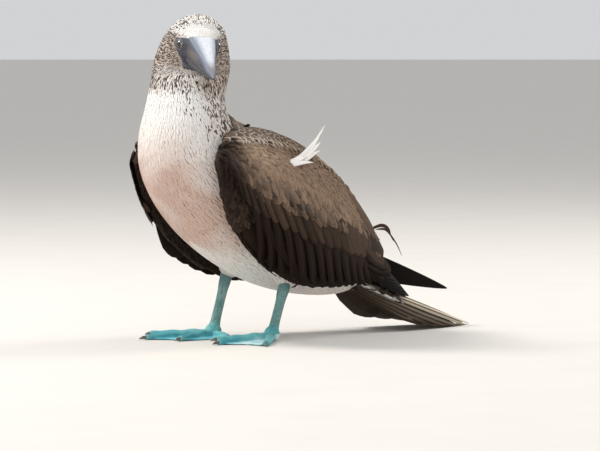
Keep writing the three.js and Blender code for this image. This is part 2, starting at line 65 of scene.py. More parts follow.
def deselect():
    if bpy.context.object and bpy.context.object.mode != "OBJECT":
        bpy.ops.object.mode_set(mode="OBJECT")
    bpy.ops.object.select_all(action="DESELECT")


def pick(*pieces):
    deselect()
    for piece in pieces:
        piece.select_set(True)
    bpy.context.view_layer.objects.active = pieces[0]


def named(piece, name):
    piece.name = piece.data.name = name
    return piece


def readAll(items, field, width, kind=float):  # a row of numbers for each item of a mesh
    flat = np.empty(len(items) * width, kind)
    items.foreach_get(field, flat)
    return flat.reshape(-1, width)


def pointsOf(piece):  # bird's frame, mm
    return readAll(piece.data.vertices, "co", 3) * 1000 - stance


def movePoints(piece, points):
    piece.data.vertices.foreach_set("co", ((points + stance) / 1000).ravel())
    piece.data.update()


def modify(piece, kind, **settings):
    pick(piece)
    made = piece.modifiers.new(kind.title(), kind)
    for name, value in settings.items():
        setattr(made, name, value)
    bpy.ops.object.modifier_apply(modifier=made.name)


def subdivide(piece, levels):
    modify(piece, "SUBSURF", levels=levels, render_levels=levels)


def remesh(piece, voxel, smoothing):  # voxel in millimetres
    modify(piece, "REMESH", mode="VOXEL", voxel_size=voxel / 1000, use_smooth_shade=True)
    modify(piece, "SMOOTH", factor=0.5, iterations=smoothing)


def editAll(piece, action):
    pick(piece)
    bpy.ops.object.mode_set(mode="EDIT")
    bpy.ops.mesh.select_all(action="SELECT")
    action()
    bpy.ops.object.mode_set(mode="OBJECT")


def outwards(piece):
    editAll(piece, lambda: bpy.ops.mesh.normals_make_consistent(inside=False))


def unwrap(piece):
    editAll(piece, lambda: bpy.ops.uv.smart_project(angle_limit=math.radians(70), island_margin=0.002))
    for layer in list(piece.data.uv_layers)[1:]:
        piece.data.uv_layers.remove(layer)
    piece.data.uv_layers[0].name = "OFBake"


def smoothShade(piece, angle=60):
    pick(piece)
    bpy.ops.object.shade_smooth_by_angle(angle=math.radians(angle))


def joinAll(pieces, name):
    pick(*pieces)
    bpy.ops.object.join()
    return named(bpy.context.object, name)


def settle(piece):  # points and faces in one order on every run, whatever order the tools left them in
    mesh = piece.data
    points = readAll(mesh.vertices, "co", 3, np.float32)
    order = np.lexsort(points.T)
    rank = np.empty(len(order), int)
    rank[order] = np.arange(len(order))
    faces = []
    for face in mesh.polygons:
        ring = rank[list(face.vertices)]
        faces.append(np.roll(ring, -int(ring.argmin())).tolist())
    mesh.clear_geometry()
    mesh.from_pydata(points[order].tolist(), [], sorted(faces))
    mesh.update()


def newBall(name, segments, rings):
    deselect()
    bpy.ops.mesh.primitive_uv_sphere_add(segments=segments, ring_count=rings)
    piece = named(bpy.context.object, name)
    settle(piece)
    return piece


def asMade(piece):  # the points as the tool made them, on a ball or ring of radius 1
    return (pointsOf(piece) + stance) / 1000


def treeOf(points):
    tree = kdtree.KDTree(len(points))
    for i, point in enumerate(points):
        tree.insert(point, i)
    tree.balance()
    return tree


def smoothRun(values):  # a smooth line through a few rows of sizes, read at any share from 0 to 1
    rows = np.array(values, float)
    ends = np.vstack([2 * rows[0] - rows[1], rows, 2 * rows[-1] - rows[-2]])
    gaps = np.maximum(np.linalg.norm(np.diff(ends, axis=0), axis=1) ** 0.5, 1e-4)

    def inside(share):
        place = share * (len(rows) - 1)
        cell = np.minimum(place.astype(int), len(rows) - 2)
        w = (place - cell)[..., None]
        x0, x1, x2, x3 = (ends[cell + k] for k in range(4))
        d0, d1, d2 = (gaps[cell + k][..., None] for k in range(3))
        t1 = ((x1 - x0) / d0 - (x2 - x0) / (d0 + d1) + (x2 - x1) / d1) * d1
        t2 = ((x2 - x1) / d1 - (x3 - x1) / (d1 + d2) + (x3 - x2) / d2) * d1
        return x1 + t1 * w + (3 * (x2 - x1) - 2 * t1 - t2) * w**2 + (2 * (x1 - x2) + t1 + t2) * w**3

    def read(share):
        share = np.asarray(share, float)
        kept = np.clip(share, 0, 1)
        near = np.where(kept > 0.5, kept - 0.02, kept + 0.02)
        slope = (inside(kept) - inside(near)) / (kept - near)[..., None]
        return inside(kept) + slope * (share - kept)[..., None]

    return read


def tube(name, rings):  # a closed skin through equal rings of points, made from a ball
    rings = np.asarray(rings, float)
    count, sides = rings.shape[:2]
    piece = newBall(name, sides, count + 1)
    ball = asMade(piece)
    row = np.rint(np.arccos(np.clip(ball[:, 2], -1, 1)) / math.pi * (count + 1)).astype(int)
    column = np.rint(np.arctan2(ball[:, 1], ball[:, 0]) / (2 * math.pi) * sides).astype(int) % sides
    places = rings[np.clip(row - 1, 0, count - 1), column]
    places[row == 0] = rings[0].mean(0)
    places[row == count + 1] = rings[-1].mean(0)
    movePoints(piece, places)
    outwards(piece)
    return piece


def meshOf(name, points, faces):  # many small shapes as one mesh; faces are arrays of corner numbers
    mesh = bpy.data.meshes.new(name)
    corners = np.concatenate([f.ravel() for f in faces])
    sizes = np.concatenate([np.full(len(f), f.shape[1]) for f in faces])
    mesh.vertices.add(len(points))
    mesh.vertices.foreach_set("co", ((points + stance) / 1000).astype(np.float32).ravel())
    mesh.loops.add(len(corners))
    mesh.loops.foreach_set("vertex_index", corners.astype(np.int32))
    mesh.polygons.add(len(sizes))
    mesh.polygons.foreach_set("loop_start", (np.cumsum(sizes) - sizes).astype(np.int32))
    mesh.update(calc_edges=True)
    mesh.polygons.foreach_set("use_smooth", np.ones(len(sizes), bool))
    piece = bpy.data.objects.new(name, mesh)
    bpy.context.scene.collection.objects.link(piece)
    return piece


def attribute(piece, name, values, kind="FLOAT_VECTOR"):
    made = piece.data.attributes.new(name, kind, "POINT")
    if kind == "FLOAT_COLOR":
        values = np.hstack([values, np.ones((len(values), 1))])
    field = {"FLOAT_VECTOR": "vector", "FLOAT_COLOR": "color", "FLOAT": "value"}[kind]
    made.data.foreach_set(field, np.ascontiguousarray(values, np.float32).ravel())


def finishPiece(piece, material, slot, *nodes):
    piece.data.materials.clear()
    piece.data.materials.append(material)
    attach(piece, "root")
    if nodes:
        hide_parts(*nodes)
    return piece


# Materials

class Shade:  # a socket that sums can be written on
    def __init__(self, tree, socket=None):
        self.tree = tree
        self.socket = socket

    def node(self, kind, settings={}, inputs={}, output=0):
        made = self.tree.nodes.new(kind)
        for name, value in settings.items():
            setattr(made, name, value)
        for name, value in inputs.items():
            if isinstance(value, Shade):
                self.tree.links.new(value.socket, made.inputs[name])
            else:
                made.inputs[name].default_value = value
        return Shade(self.tree, made.outputs[output])

    def sum(self, operation, *values):
        return self.node("ShaderNodeMath", {"operation": operation}, dict(enumerate(values)))

    def __add__(self, other):
        return self.sum("ADD", self, other)

    def __radd__(self, other):
        return self.sum("ADD", other, self)

    def __sub__(self, other):
        return self.sum("SUBTRACT", self, other)

    def __rsub__(self, other):
        return self.sum("SUBTRACT", other, self)

    def __mul__(self, other):
        return self.sum("MULTIPLY", self, other)

    def __rmul__(self, other):
        return self.sum("MULTIPLY", other, self)

    def __truediv__(self, other):
        return self.sum("DIVIDE", self, other)

    def __rtruediv__(self, other):
        return self.sum("DIVIDE", other, self)

    def __pow__(self, other):
        return self.sum("POWER", self, other)

    def __rpow__(self, other):
        return self.sum("POWER", other, self)

    def __abs__(self):
        return self.sum("ABSOLUTE", self)

    def between(self, low, high):  # 0 at low, 1 at high, soft between
        settings = {"interpolation_type": "SMOOTHSTEP"}
        return self.node("ShaderNodeMapRange", settings, {"Value": self, "From Min": low, "From Max": high})

    def colours(self, a, b):  # this value mixes colour a into b
        a, b = (c if isinstance(c, Shade) else (*c, 1) for c in (a, b))
        return self.node("ShaderNodeMix", {"data_type": "RGBA"}, {0: self, 6: a, 7: b}, 2)

    def part(self, axis):
        return self.node("ShaderNodeSeparateXYZ", {}, {"Vector": self}, axis)

    def together(self, *parts):
        return self.node("ShaderNodeCombineXYZ", {}, dict(enumerate(parts)))

    def vectorSum(self, operation, *values, output=0):
        inputs = dict(enumerate((self, *values)))
        return self.node("ShaderNodeVectorMath", {"operation": operation}, inputs, output)

    def noise(self, scale, detail):
        inputs = {"Vector": self, "Scale": scale, "Detail": detail, "Roughness": 0.55}
        return self.node("ShaderNodeTexNoise", {}, inputs)

    def named(self, name, output=1):  # an attribute of the mesh: 0 is its colour, 1 its vector, 2 its value
        return self.node("ShaderNodeAttribute", {"attribute_name": name}, {}, output)

    def object(self):
        return self.node("ShaderNodeTexCoord", {}, {}, 3)


# A paint gives Base Color, Roughness and so on, and bump as (height, distance)
def material(name, paint, **constants):
    made = bpy.data.materials.new(name)
    made.use_nodes = True
    tree = made.node_tree
    shader = tree.nodes["Principled BSDF"]
    for socket, value in constants.items():
        shader.inputs[socket].default_value = value
    for socket, value in paint(Shade(tree)).items():
        if socket == "bump":
            height, distance = value
            inputs = {"Height": height, "Distance": distance, "Strength": 1.0}
            value = Shade(tree).node("ShaderNodeBump", {}, inputs)
            socket = "Normal"
        tree.links.new(value.socket, shader.inputs[socket])
    return made


def grainy(scale, detail, dark, pale, relief, span=None, roughness=None):  # a noise that mixes two colours
    def paint(s):
        grain = s.object().noise(scale, detail)
        share = grain.between(*span) if span else grain
        made = {"Base Color": share.colours(dark, pale), "bump": (grain, relief)}
        if roughness:
            made["Roughness"] = roughness[0] + grain * roughness[1]
        return made
    return paint


print("camera, floor and lights")

outlook = dict(turn=52, rise=5, distance=4.0, lens=200, right=0.0702, up=0.1362)
lamps = [  # place, aim height, size, watts, colour
    ((-1.7, -1.9, 2.9), 0.2, 1.2, 122, (1.0, 0.97, 0.93)),
    ((2.4, -2.2, 1.3), 0.2, 2.2, 26, (0.95, 0.97, 1.0)),
    ((0.5, 2.6, 2.0), 0.25, 1.6, 40, (1.0, 0.96, 0.9)),
]

turn, rise = math.radians(outlook["turn"]), math.radians(outlook["rise"])
back = Vector((math.sin(turn) * math.cos(rise), -math.cos(turn) * math.cos(rise), math.sin(rise)))
right = Vector((math.cos(turn), math.sin(turn), 0))
bpy.ops.object.camera_add()
camera = bpy.context.object
camera.location = Vector(stance) / 1000 + back * outlook["distance"]
aim = Vector(stance) / 1000 + right * outlook["right"] + back.cross(right) * outlook["up"]
camera.rotation_euler = (aim - camera.location).to_track_quat("-Z", "Y").to_euler()
camera.data.lens = outlook["lens"]
camera.data.clip_end = 100
bpy.context.scene.camera = camera
bpy.context.scene.view_settings.view_transform = "Standard"

for place, aim, size, watts, colour in lamps:
    bpy.ops.object.light_add(type="AREA", location=place)
    lamp = bpy.context.object
    lamp.rotation_euler = (Vector((0, 0, aim)) - Vector(place)).to_track_quat("-Z", "Y").to_euler()
    lamp.data.shape = "DISK"
    lamp.data.size = size
    lamp.data.energy = watts
    lamp.data.color = colour

world = bpy.data.worlds.new("studio")
bpy.context.scene.world = world
world.use_nodes = True
world.node_tree.nodes["Background"].inputs["Color"].default_value = (0.80, 0.81, 0.83, 1)
world.node_tree.nodes["Background"].inputs["Strength"].default_value = 0.8

deselect()
bpy.ops.mesh.primitive_grid_add(x_subdivisions=8, y_subdivisions=8, size=160)
floor = named(bpy.context.object, "floor")

floorPaint = grainy(9, 5, tone(212, 208, 202), tone(220, 216, 210), 0.0004)
floor.data.materials.append(material("paleFloor", floorPaint, Roughness=0.75))


# Shapes that the pieces share, in the bird's own frame

body = dict(
    sides=72,
    torso=[  # back y, z; belly y, z; half width, from the tail's root to the base of the neck
        (186, 78, 172, 52, 14), (184, 100, 142, 46, 33), (170, 136, 104, 46, 46), (146, 170, 60, 52, 56),
        (112, 201, 10, 66, 62), (72, 227, -43, 92, 65), (32, 246, -90, 127, 68), (0, 257, -122, 165, 67),
        (-22, 266, -139, 202, 63), (-33, 277, -142, 240, 56), (-35, 296, -134, 277, 49.5)],
    neck=[  # middle x, y, height; half width across the face and half depth along it
        (0, -77, 312, 48, 44), (-6, -70, 331, 47, 34), (-6, -66.5, 353, 41.5, 31), (-1, -67, 370, 34.5, 29),
        (2, -68.5, 380.5, 24, 20), (3.5, -69, 386.5, 12.5, 11), (4, -69, 388.5, 4, 4)],
    face=[  # forward, half width, top, bottom
        (-24, 32, 24, -36), (-8, 34.5, 27.5, -40), (2, 32.5, 27, -38.5), (9, 28.5, 25.5, -35.5),
        (16, 23.5, 23, -31), (22, 20, 20.8, -26.5), (30, 17.6, 17.2, -20.5)],
    turn=62, nod=16, roll=3, centre=(7.6, -72.7, 353.6),
    depth=(3.2, 1.5),  # of the coat, on the body and on the head
    voxel=1.9)

headTurn = math.radians(body["turn"])
headSpin = (Matrix.Rotation(headTurn, 3, "Z") @ Matrix.Rotation(math.radians(body["nod"]), 3, "X")
            @ Matrix.Rotation(math.radians(body["roll"]), 3, "Y"))
headAxes = np.array(headSpin)
headCentre = np.array(body["centre"])


def fromHead(points):  # the head's own frame: left, back and up
    return np.asarray(points, float) @ headAxes.T + headCentre


def toHead(points):
    return (points - headCentre) @ headAxes


def around(centres, side, up, sides):
    angles = np.arange(sides) / sides * 2 * math.pi
    return (centres[:, None] + side[:, None] * np.cos(angles)[None, :, None]
            + up[:, None] * np.sin(angles)[None, :, None])


def bodyTubes(inset):
    rows = np.array(body["torso"], float)
    shares = np.linspace(0, 1, 90)
    backs = smoothRun(rows[:, [4, 0, 1]])(shares)
    bellies = smoothRun(rows[:, [2, 3]])(shares)
    half = backs[:, 0] - inset[0]
    backs = np.stack([shares * 0, backs[:, 1], backs[:, 2]], 1)
    bellies = np.stack([shares * 0, bellies[:, 0], bellies[:, 1]], 1)
    centres = (backs + bellies) / 2
    up = backs - centres
    up *= 1 - inset[0] / np.linalg.norm(up, axis=1, keepdims=True)
    side = np.stack([half, half * 0, half * 0], 1)
    torso = around(centres, side, up, body["sides"])
    rows = np.array(body["neck"], float)
    shares = np.linspace(0, 1, 60)
    centres = smoothRun(rows[:, :3])(shares)
    sizes = smoothRun(rows[:, 3:])(shares)
    less = mixed(inset[0], inset[1], fade(centres[:, 2], 300, 335))
    a, b = sizes[:, 0] - less, sizes[:, 1] - less
    c, d = math.cos(headTurn), math.sin(headTurn)
    side = np.stack([a * c * c + b * d * d, (a - b) * c * d, a * 0], 1)
    up = np.stack([(a - b) * c * d, a * d * d + b * c * c, a * 0], 1)
    neck = around(centres, side, up, body["sides"])
    return np.concatenate([torso, neck])


def faceRings(inset, sides=48):
    lines = smoothRun(body["face"])(np.linspace(0, 1, 40))
    angles = np.arange(sides) / sides * 2 * math.pi
    full = lambda v: np.sign(v) * np.abs(v) ** 0.88
    less = inset * (1 - fade(lines[:, 0], 8, 20))[:, None]
    wide = lines[:, 1:2] - less
    high = np.where(np.sin(angles) > 0, lines[:, 2:3] - less, -lines[:, 3:4] - less)
    x, z = wide * full(np.cos(angles)), high * full(np.sin(angles))
    return fromHead(np.stack([x, np.repeat(-lines[:, :1], sides, 1), z], 2))


# Wings: s runs back from the wrist, t runs down from the shoulder line

wing = dict(
    ribs=[  # upper x, y, z; lower x, y, z; bulge of the outside; thickness
        (84, -88, 237, 90, -93, 206, 5, 17), (69, -58, 243, 88, -80, 166, 14, 29),
        (55, -19, 243, 85, -56, 128, 21, 36), (42, 33, 234, 80, -19, 95, 26, 36),
        (33, 81, 217, 73, 25, 71, 27, 32), (26, 126, 190, 62, 72, 62, 24, 24),
        (20, 161, 159, 52, 118, 58, 18, 16), (17, 188, 128, 43, 158, 60, 11, 12),
        (18, 206, 102, 36, 190, 70, 6, 9)],
    sunk=(2.4, 5.5),  # of the wing's body below its coverts and below its flight feathers
    flightFrom=(0.36, 0.5))  # t where its coverts give way to its flight feathers

ribs = np.array(wing["ribs"], float)
wingUpper, wingLower, wingBody = smoothRun(ribs[:, :3]), smoothRun(ribs[:, 3:6]), smoothRun(ribs[:, 6:])


def wingOut(s):
    middle = lambda v: (wingUpper(v) + wingLower(v)) / 2
    return unit(np.cross(wingLower(s) - wingUpper(s), middle(s + 0.02) - middle(s - 0.02)))


def wingPoint(s, t, depth=0.0, lift=0.0):
    s, t = np.broadcast_arrays(np.asarray(s, float), np.asarray(t, float))
    size = wingBody(s)
    room = 4 * t * (1 - t)
    lens = np.where(room > 0, np.abs(room) ** 0.65, room)
    thick = size[..., 1] * (0.3 + 0.7 * np.sqrt(np.maximum(room, 0)))
    rise = size[..., 0] * lens - depth * thick + lift
    return mixed(wingUpper(s), wingLower(s), t[..., None]) + wingOut(s) * rise[..., None]


def flipped(points, side):  # the right wing is the left one mirrored
    return points * np.array([side, 1, 1])


# Feathers: every one is a thin closed vane along its own line, joined into one mesh with its neighbours

slimSection = np.array([(-1, 0), (0, 1), (1, 0), (0, -0.5)])
fullSection = np.array([
    (-1, 0), (-0.55, 0.7), (0, 1), (0.55, 0.7), (1, 0), (0.5, -0.35), (0, -0.5), (-0.5, -0.35)])


def vanes(name, spine, outs, half, thick, tint, edge, section=slimSection, camber=0.0, twist=0.0,
          patches=None):
    count, steps = spine.shape[:2]
    ring = len(section)
    along = unit(np.gradient(spine, axis=1))
    across = unit(np.cross(along, outs))
    up = np.cross(across, along)
    a, b = section.T
    reach = half[:, :, None] * a
    lean = np.reshape(twist, (-1, 1, 1))
    full = np.minimum(1, half / np.maximum(half.max(1, keepdims=True) * 0.35, 1e-6))[:, :, None]
    rise = b * thick * full + reach * lean - camber * np.abs(reach) * np.abs(a)
    points = spine[:, :, None] + across[:, :, None] * reach[..., None] + up[:, :, None] * rise[..., None]
    k = np.arange(ring)
    strips = np.concatenate([np.stack([s * ring + k, s * ring + (k + 1) % ring,
                                       (s + 1) * ring + (k + 1) % ring, (s + 1) * ring + k], 1)
                             for s in range(steps - 1)])
    caps = np.stack([k[::-1], (steps - 1) * ring + k])
    first = (np.arange(count) * steps * ring)[:, None, None]
    faces = [(f[None] + first).reshape(-1, f.shape[1]) for f in (strips, caps)]
    piece = meshOf(name, points.reshape(-1, 3), faces)
    upper = (b >= 0) & (np.roll(b, -1) >= 0)  # the only round shaded faces, so that the edges stay flat
    rounded = np.append(np.tile(upper, count * (steps - 1)), np.zeros(2 * count, bool))
    piece.data.polygons.foreach_set("use_smooth", rounded)
    wide, share, chance = np.broadcast_arrays(
        a, np.linspace(0, 1, steps)[:, None], draw.random(count)[:, None, None])
    attribute(piece, "vane", np.stack([wide, share, chance], 3).reshape(-1, 3))
    attribute(piece, "tint", np.repeat(tint, steps * ring, 0), "FLOAT_COLOR")
    attribute(piece, "edge", np.repeat(edge, steps * ring, 0), "FLOAT_COLOR")
    if patches is None:  # large feathers lie side by side on the map
        perRow = math.ceil(math.sqrt(count))
        middle = np.stack([np.arange(count) % perRow + 0.5, np.arange(count) // perRow + 0.5], 1) / perRow
        patch = 0.9 / perRow
    else:
        middle, patch = patches, 0.003
    place = np.stack([wide / 2, share - 0.5], 3) * patch + middle[:, None, None]
    corners = np.concatenate([f.ravel() for f in faces])
    layer = piece.data.uv_layers.new(name="OFBake")
    layer.data.foreach_set("uv", place.reshape(-1, 2)[corners].astype(np.float32).ravel())
    return piece


def surfaceOf(piece):
    mesh = piece.data
    normals = readAll(mesh.vertex_normals, "vector", 3)
    mesh.calc_loop_triangles()
    triangles = readAll(mesh.loop_triangles, "vertices", 3, np.int32)
    loops = readAll(mesh.loop_triangles, "loops", 3, np.int32)
    points = pointsOf(piece)
    return dict(points=points, normals=normals, triangles=triangles,
                uv=readAll(mesh.uv_layers["OFBake"].data, "uv", 2)[loops],
                tree=BVHTree.FromPolygons(points.tolist(), triangles.tolist()))


def scatter(surface, where, radius):  # roots at least a radius apart, where a function says so
    radius *= 1
    corners = surface["points"][surface["triangles"]]
    leans = surface["normals"][surface["triangles"]]
    area = np.linalg.norm(np.cross(corners[:, 1] - corners[:, 0], corners[:, 2] - corners[:, 0]), axis=1) / 2
    area = area * where(corners.mean(1), unit(leans.mean(1)))
    count = int(3.2 * area.sum() / radius**2)
    chosen = draw.choice(len(area), count, p=area / area.sum())
    a, b = draw.random((2, count))
    a, b = np.where(a + b > 1, 1 - a, a), np.where(a + b > 1, 1 - b, b)
    weights = np.stack([1 - a - b, a, b], 1)[..., None]
    spots = (corners[chosen] * weights).sum(1)
    tree = treeOf(spots)
    free, kept = np.ones(count, bool), []
    for i, spot in enumerate(spots):
        if free[i]:
            kept.append(i)
            for _, j, _ in tree.find_range(spot, radius):
                free[j] = False
    kept = np.array(kept)
    normals = unit((leans[chosen] * weights).sum(1))
    return spots[kept], normals[kept], (surface["uv"][chosen] * weights).sum(1)[kept]


# Each feather's line follows the skin at its heights
def layDown(surface, roots, lies, lengths, heights, shares):
    spots = roots[:, None] + lies[:, None] * (lengths[:, None] * shares)[..., None]
    flat = spots.reshape(-1, 3)
    lines, faces = np.empty_like(flat), np.empty(len(flat), int)
    nearest = surface["tree"].find_nearest
    for i, spot in enumerate(flat):
        lines[i], _, faces[i], _ = nearest(spot)
    outs = unit(surface["normals"][surface["triangles"][faces]].mean(1)).reshape(spots.shape)
    return lines.reshape(spots.shape) + outs * heights[..., None], outs


def flatten(directions, normals):  # a direction along the surface
    return unit(directions - normals * (directions * normals).sum(1, keepdims=True))


def plumage(name, rim, margin, mottle, roughness, shaft=0.0, relief=0.03):
    def paint(s):
        vane = s.named("vane")
        across, along, chance = (vane.part(axis) for axis in range(3))
        side = abs(across)
        tip = (side**rim[0] + along**rim[1]).between(*margin)
        barbs = s.together((along - side * 0.35) * 26, across * 1.3, chance * 60).noise(1.0, 2)
        colour = tip.colours(s.named("tint", 0), s.named("edge", 0))
        broad = s.object().noise(160, 3)
        shade = (barbs * 0.6 + broad * 0.4 - 0.5) * (2 * mottle) + 1 - mottle * 0.3
        multiply = {"data_type": "RGBA", "blend_type": "MULTIPLY"}
        grey = s.together(shade, shade, shade)
        colour = s.node("ShaderNodeMix", multiply, {0: 1.0, 6: colour, 7: grey}, 2)
        stem = 1 - side.between(0.02, 0.11)
        if shaft:
            colour = (stem * shaft).colours(colour, tone(28, 20, 16))
        return {"Base Color": colour, "Roughness": roughness + (barbs - 0.5) * 0.2,
                "bump": (barbs * 0.6 + stem * 0.4, relief / 1000)}
    return material(name, paint, **{"Specular IOR Level": 0.12})


print("skin")

pieces = [tube("skin", bodyTubes(body["depth"])), tube("skinFace", faceRings(body["depth"][1]))]
feet = dict(
    left=dict(at=(40, 13.5), turnOut=5, legTop=(45, 30, 66)),
    right=dict(at=(-40, -13.5), turnOut=15, legTop=(-42, 10, 76)))
thigh = dict(size=(12.4, 17.4, 16.4), inward=0.93, back=5, above=12)
for foot in feet.values():
    x, y, z = foot["legTop"]
    ball = newBall("thigh", 32, 20)
    middle = (x * thigh["inward"], y + thigh["back"], z + thigh["above"])
    movePoints(ball, asMade(ball) * thigh["size"] + middle)
    pieces.append(ball)
skin = joinAll(pieces, "skin")
remesh(skin, body["voxel"], 6)

eyes = dict(radius=7.5, out=48, place=(19.2, -13, 2), lid=dict(ring=6.15, thick=1.5, lift=4.5))


def eyeSpin(side):
    outward = Matrix.Rotation(math.radians(side * eyes["out"]), 3, "Z")
    return np.array(outward @ Matrix.Rotation(math.pi / 2, 3, "X"))


def fromEye(points, side):  # the eye's own frame looks along +Z
    return fromHead(points @ eyeSpin(side).T + np.array(eyes["place"]) * (side, 1, 1))


def ballAt(name, side, radius):
    piece = newBall(name, 48, 32)
    ball = asMade(piece)
    movePoints(piece, fromEye(ball * radius, side))
    return piece, ball


for side in (1, -1):
    cutter, _ = ballAt("socket", side, eyes["radius"] + 0.1)
    modify(skin, "BOOLEAN", operation="DIFFERENCE", object=cutter, solver="EXACT")
    bpy.data.objects.remove(cutter)

settle(skin)
unwrap(skin)
smoothShade(skin)
skinFace = surfaceOf(skin)
print("skin faces", len(skin.data.polygons))

paints = dict(
    white=tone(243, 240, 236), cream=tone(244, 238, 226), buff=tone(168, 142, 120), speck=tone(48, 36, 30),
    belly=tone(203, 175, 161), mantle=tone(84, 63, 48), mantleEdge=tone(206, 184, 156),
    slate=tone(50, 52, 62))
bareEdge = dict(  # heights on the head, and how far forward the feathers reach at each
    height=(-26, -23, -19, -13, -7, 1, 9, 11.5, 13.5, 17.5),
    forward=(60, 29, 23.5, 18.5, 13, 6.8, 8, 14, 25, 30.5))


def painted(colours, name, share):  # one of the paints over other colours
    return mixed(colours, paints[name], share[:, None])


def bareSkin(points):  # 1 on the bare face, 0 under feathers
    x, y, z = toHead(points).T
    border = np.interp(z, bareEdge["height"], bareEdge["forward"])
    return fade(-y - border, -0.5, 0.5) * (np.abs(x) < 30) * (z > -27)


def markings(points, normals):  # the ground colour, how often a feather is dark, and how brown the back is
    head = toHead(points)
    forward, side, high = -head[:, 1], np.abs(head[:, 0]), head[:, 2]
    x, y, z = points.T
    turned = np.degrees(np.abs(np.arctan2(x, -(y + 84))))
    hood = fade(z, 288, 310)
    behind = fade(turned, 66, 96)
    nape = behind * fade(z, 232, 262)
    crown = fade(high, 6, 16)
    streaks = np.maximum(hood * 0.55, nape * 0.5)
    streaks = mixed(streaks, 0.5 * (1 - fade(forward, 1, 12)), crown * hood)
    throat = (1 - behind) * (1 - fade(z, 294, 314))
    chin = fade(forward, -2, 12) * (1 - fade(high, -27, -20)) * fade(high, -48, -38) * (1 - behind)
    streaks = streaks * (1 - throat) + 0.1 * throat * fade(turned, 40, 56) * fade(z, 262, 280)
    streaks = mixed(streaks, 0.3, chin * fade(side, 30, 8))
    ground = paints["white"] + np.zeros((len(points), 3))
    ground = painted(ground, "cream", hood * crown * (1 - fade(forward, 1, 10)) * 0.5)
    cheek = hood * (1 - crown) * (1 - throat)
    ground = painted(ground, "buff", 0.8 * cheek * (1 - 0.6 * chin) + 0.3 * nape * (1 - hood))
    # partly stain and partly painted warm bounce light: the lower breast and belly are mixed to a blotchy
    # warm tan, paler at the bottom and towards the back
    cloud = np.sin(x * 0.11 + 2 * np.sin(z * 0.07)) * np.sin(z * 0.09 + y * 0.06)
    tanAndBounce = (1 - fade(z, 185, 288)) * (1 - 0.4 * (1 - fade(z, 60, 140))) * (0.95 + 0.2 * cloud)
    tanAndBounce = np.clip(tanAndBounce * (1 - 0.5 * fade(turned, 45, 80) * fade(z, 165, 210)), 0, 1)
    ground = painted(ground, "belly", tanAndBounce * (1 - 0.6 * fade(turned, 120, 160)))
    upward = normals @ np.array([0, 0.62, 0.78])
    dorsal = fade(upward, -0.05, 0.3) * (1 - fade(z, 262, 290)) * fade(y, -62, -30)
    return ground, np.clip(streaks, 0, 1), dorsal


ground, streaks, dorsal = markings(skinFace["points"], skinFace["normals"])
shade = painted(ground, "speck", streaks * 0.35)
shade = painted(shade, "mantle", dorsal)
bare = bareSkin(skinFace["points"])
attribute(skin, "tint", painted(shade, "slate", bare), "FLOAT_COLOR")
attribute(skin, "bare", bare, "FLOAT")


def skinPaint(s):
    bare = s.named("bare", 2)
    place = s.object()
    fine, broad = place.noise(900, 4), place.noise(120, 3)
    colour = s.named("tint", 0)
    worn = (bare * broad.between(0.45, 0.75) * 0.55).colours(colour, tone(96, 98, 110))
    down = ((1 - bare) * fine.between(0.4, 0.7) * 0.05).colours(worn, tone(150, 130, 116))
    pores = place.noise(2600, 2)
    return {"Base Color": down, "Roughness": 0.75 - bare * 0.3, "bump": (pores * bare + fine * 0.6, 0.0004)}


finishPiece(skin, material("skinAndDown", skinPaint), "white_plumage", "torso", "neck", "head")


print("wings")

longShares = np.array([0, 0.08, 0.18, 0.3, 0.42, 0.54, 0.66, 0.76, 0.85, 0.92, 0.97, 1])
longHalf = np.interp(longShares, (0, 0.1, 0.3, 0.65, 0.85, 0.95, 1), (0.4, 0.68, 0.95, 1, 0.8, 0.5, 0.14))
roundHalf = np.interp(
    longShares, (0, 0.1, 0.3, 0.7, 0.85, 0.93, 0.97, 1), (0.4, 0.7, 0.95, 1, 0.95, 0.8, 0.6, 0.24))
primaryHalf = np.interp(longShares, (0, 0.1, 0.3, 0.55, 0.8, 0.95, 1), (0.5, 0.8, 0.95, 0.9, 0.5, 0.2, 0.05))
softShares = np.array([0, 0.3, 0.6, 0.85, 1])
softHalf = np.array([0.55, 0.95, 1, 0.72, 0.2])

# Many places on the wing's face, to look up s and t in
grid = np.stack(np.meshgrid(np.linspace(-0.01, 1, 180), np.linspace(0, 1, 90), indexing="ij"), 2)
grid = grid.reshape(-1, 2)
gridTree = treeOf(wingPoint(grid[:, 0], grid[:, 1]))


def wingPlace(points, side):
    return grid[[gridTree.find(spot)[1] for spot in flipped(points, side)]]


def facing(normals, s, side):  # 1 where a normal looks straight out of the wing, -1 where it looks in
    return (normals * flipped(wingOut(s), side)).sum(1)


def wingSunk(t):
    return mixed(*wing["sunk"], fade(t, *wing["flightFrom"]))


def wingBodyOf(side, label):
    s = np.linspace(-0.012, 1, 60)[:, None]
    t = np.linspace(0, 1, 30)[None, :]
    outer = wingPoint(s, t, 0, -wingSunk(t))
    inner = wingPoint(s, t[:, ::-1], 1.0, 0.6)
    piece = tube("wingBody" + label, flipped(np.concatenate([outer, inner], 1), side))
    remesh(piece, 2.4, 8)
    unwrap(piece)
    return piece


def covertTone(s, t):  # how pale the brown of the wing is, with painted shade along the crevice under the scapulars
    # painted shade: darker along the wing's top edge, where t is below 0.12, in front of s 0.5 to 0.7
    clearOfCreviceShade = fade(t, 0.0, 0.12) + fade(s, 0.5, 0.7)
    low = 1 - 0.94 * fade(t + 0.26 * s, 0.36, 0.72)
    return fade(s, -0.04, 0.18) * low * (1 - 0.45 * fade(s, 0.68, 0.95)) * np.minimum(1, 0.3 + clearOfCreviceShade)


wingTones = dict(dark=tone(34, 23, 16), brown=tone(136, 111, 91), buff=tone(204, 178, 152))


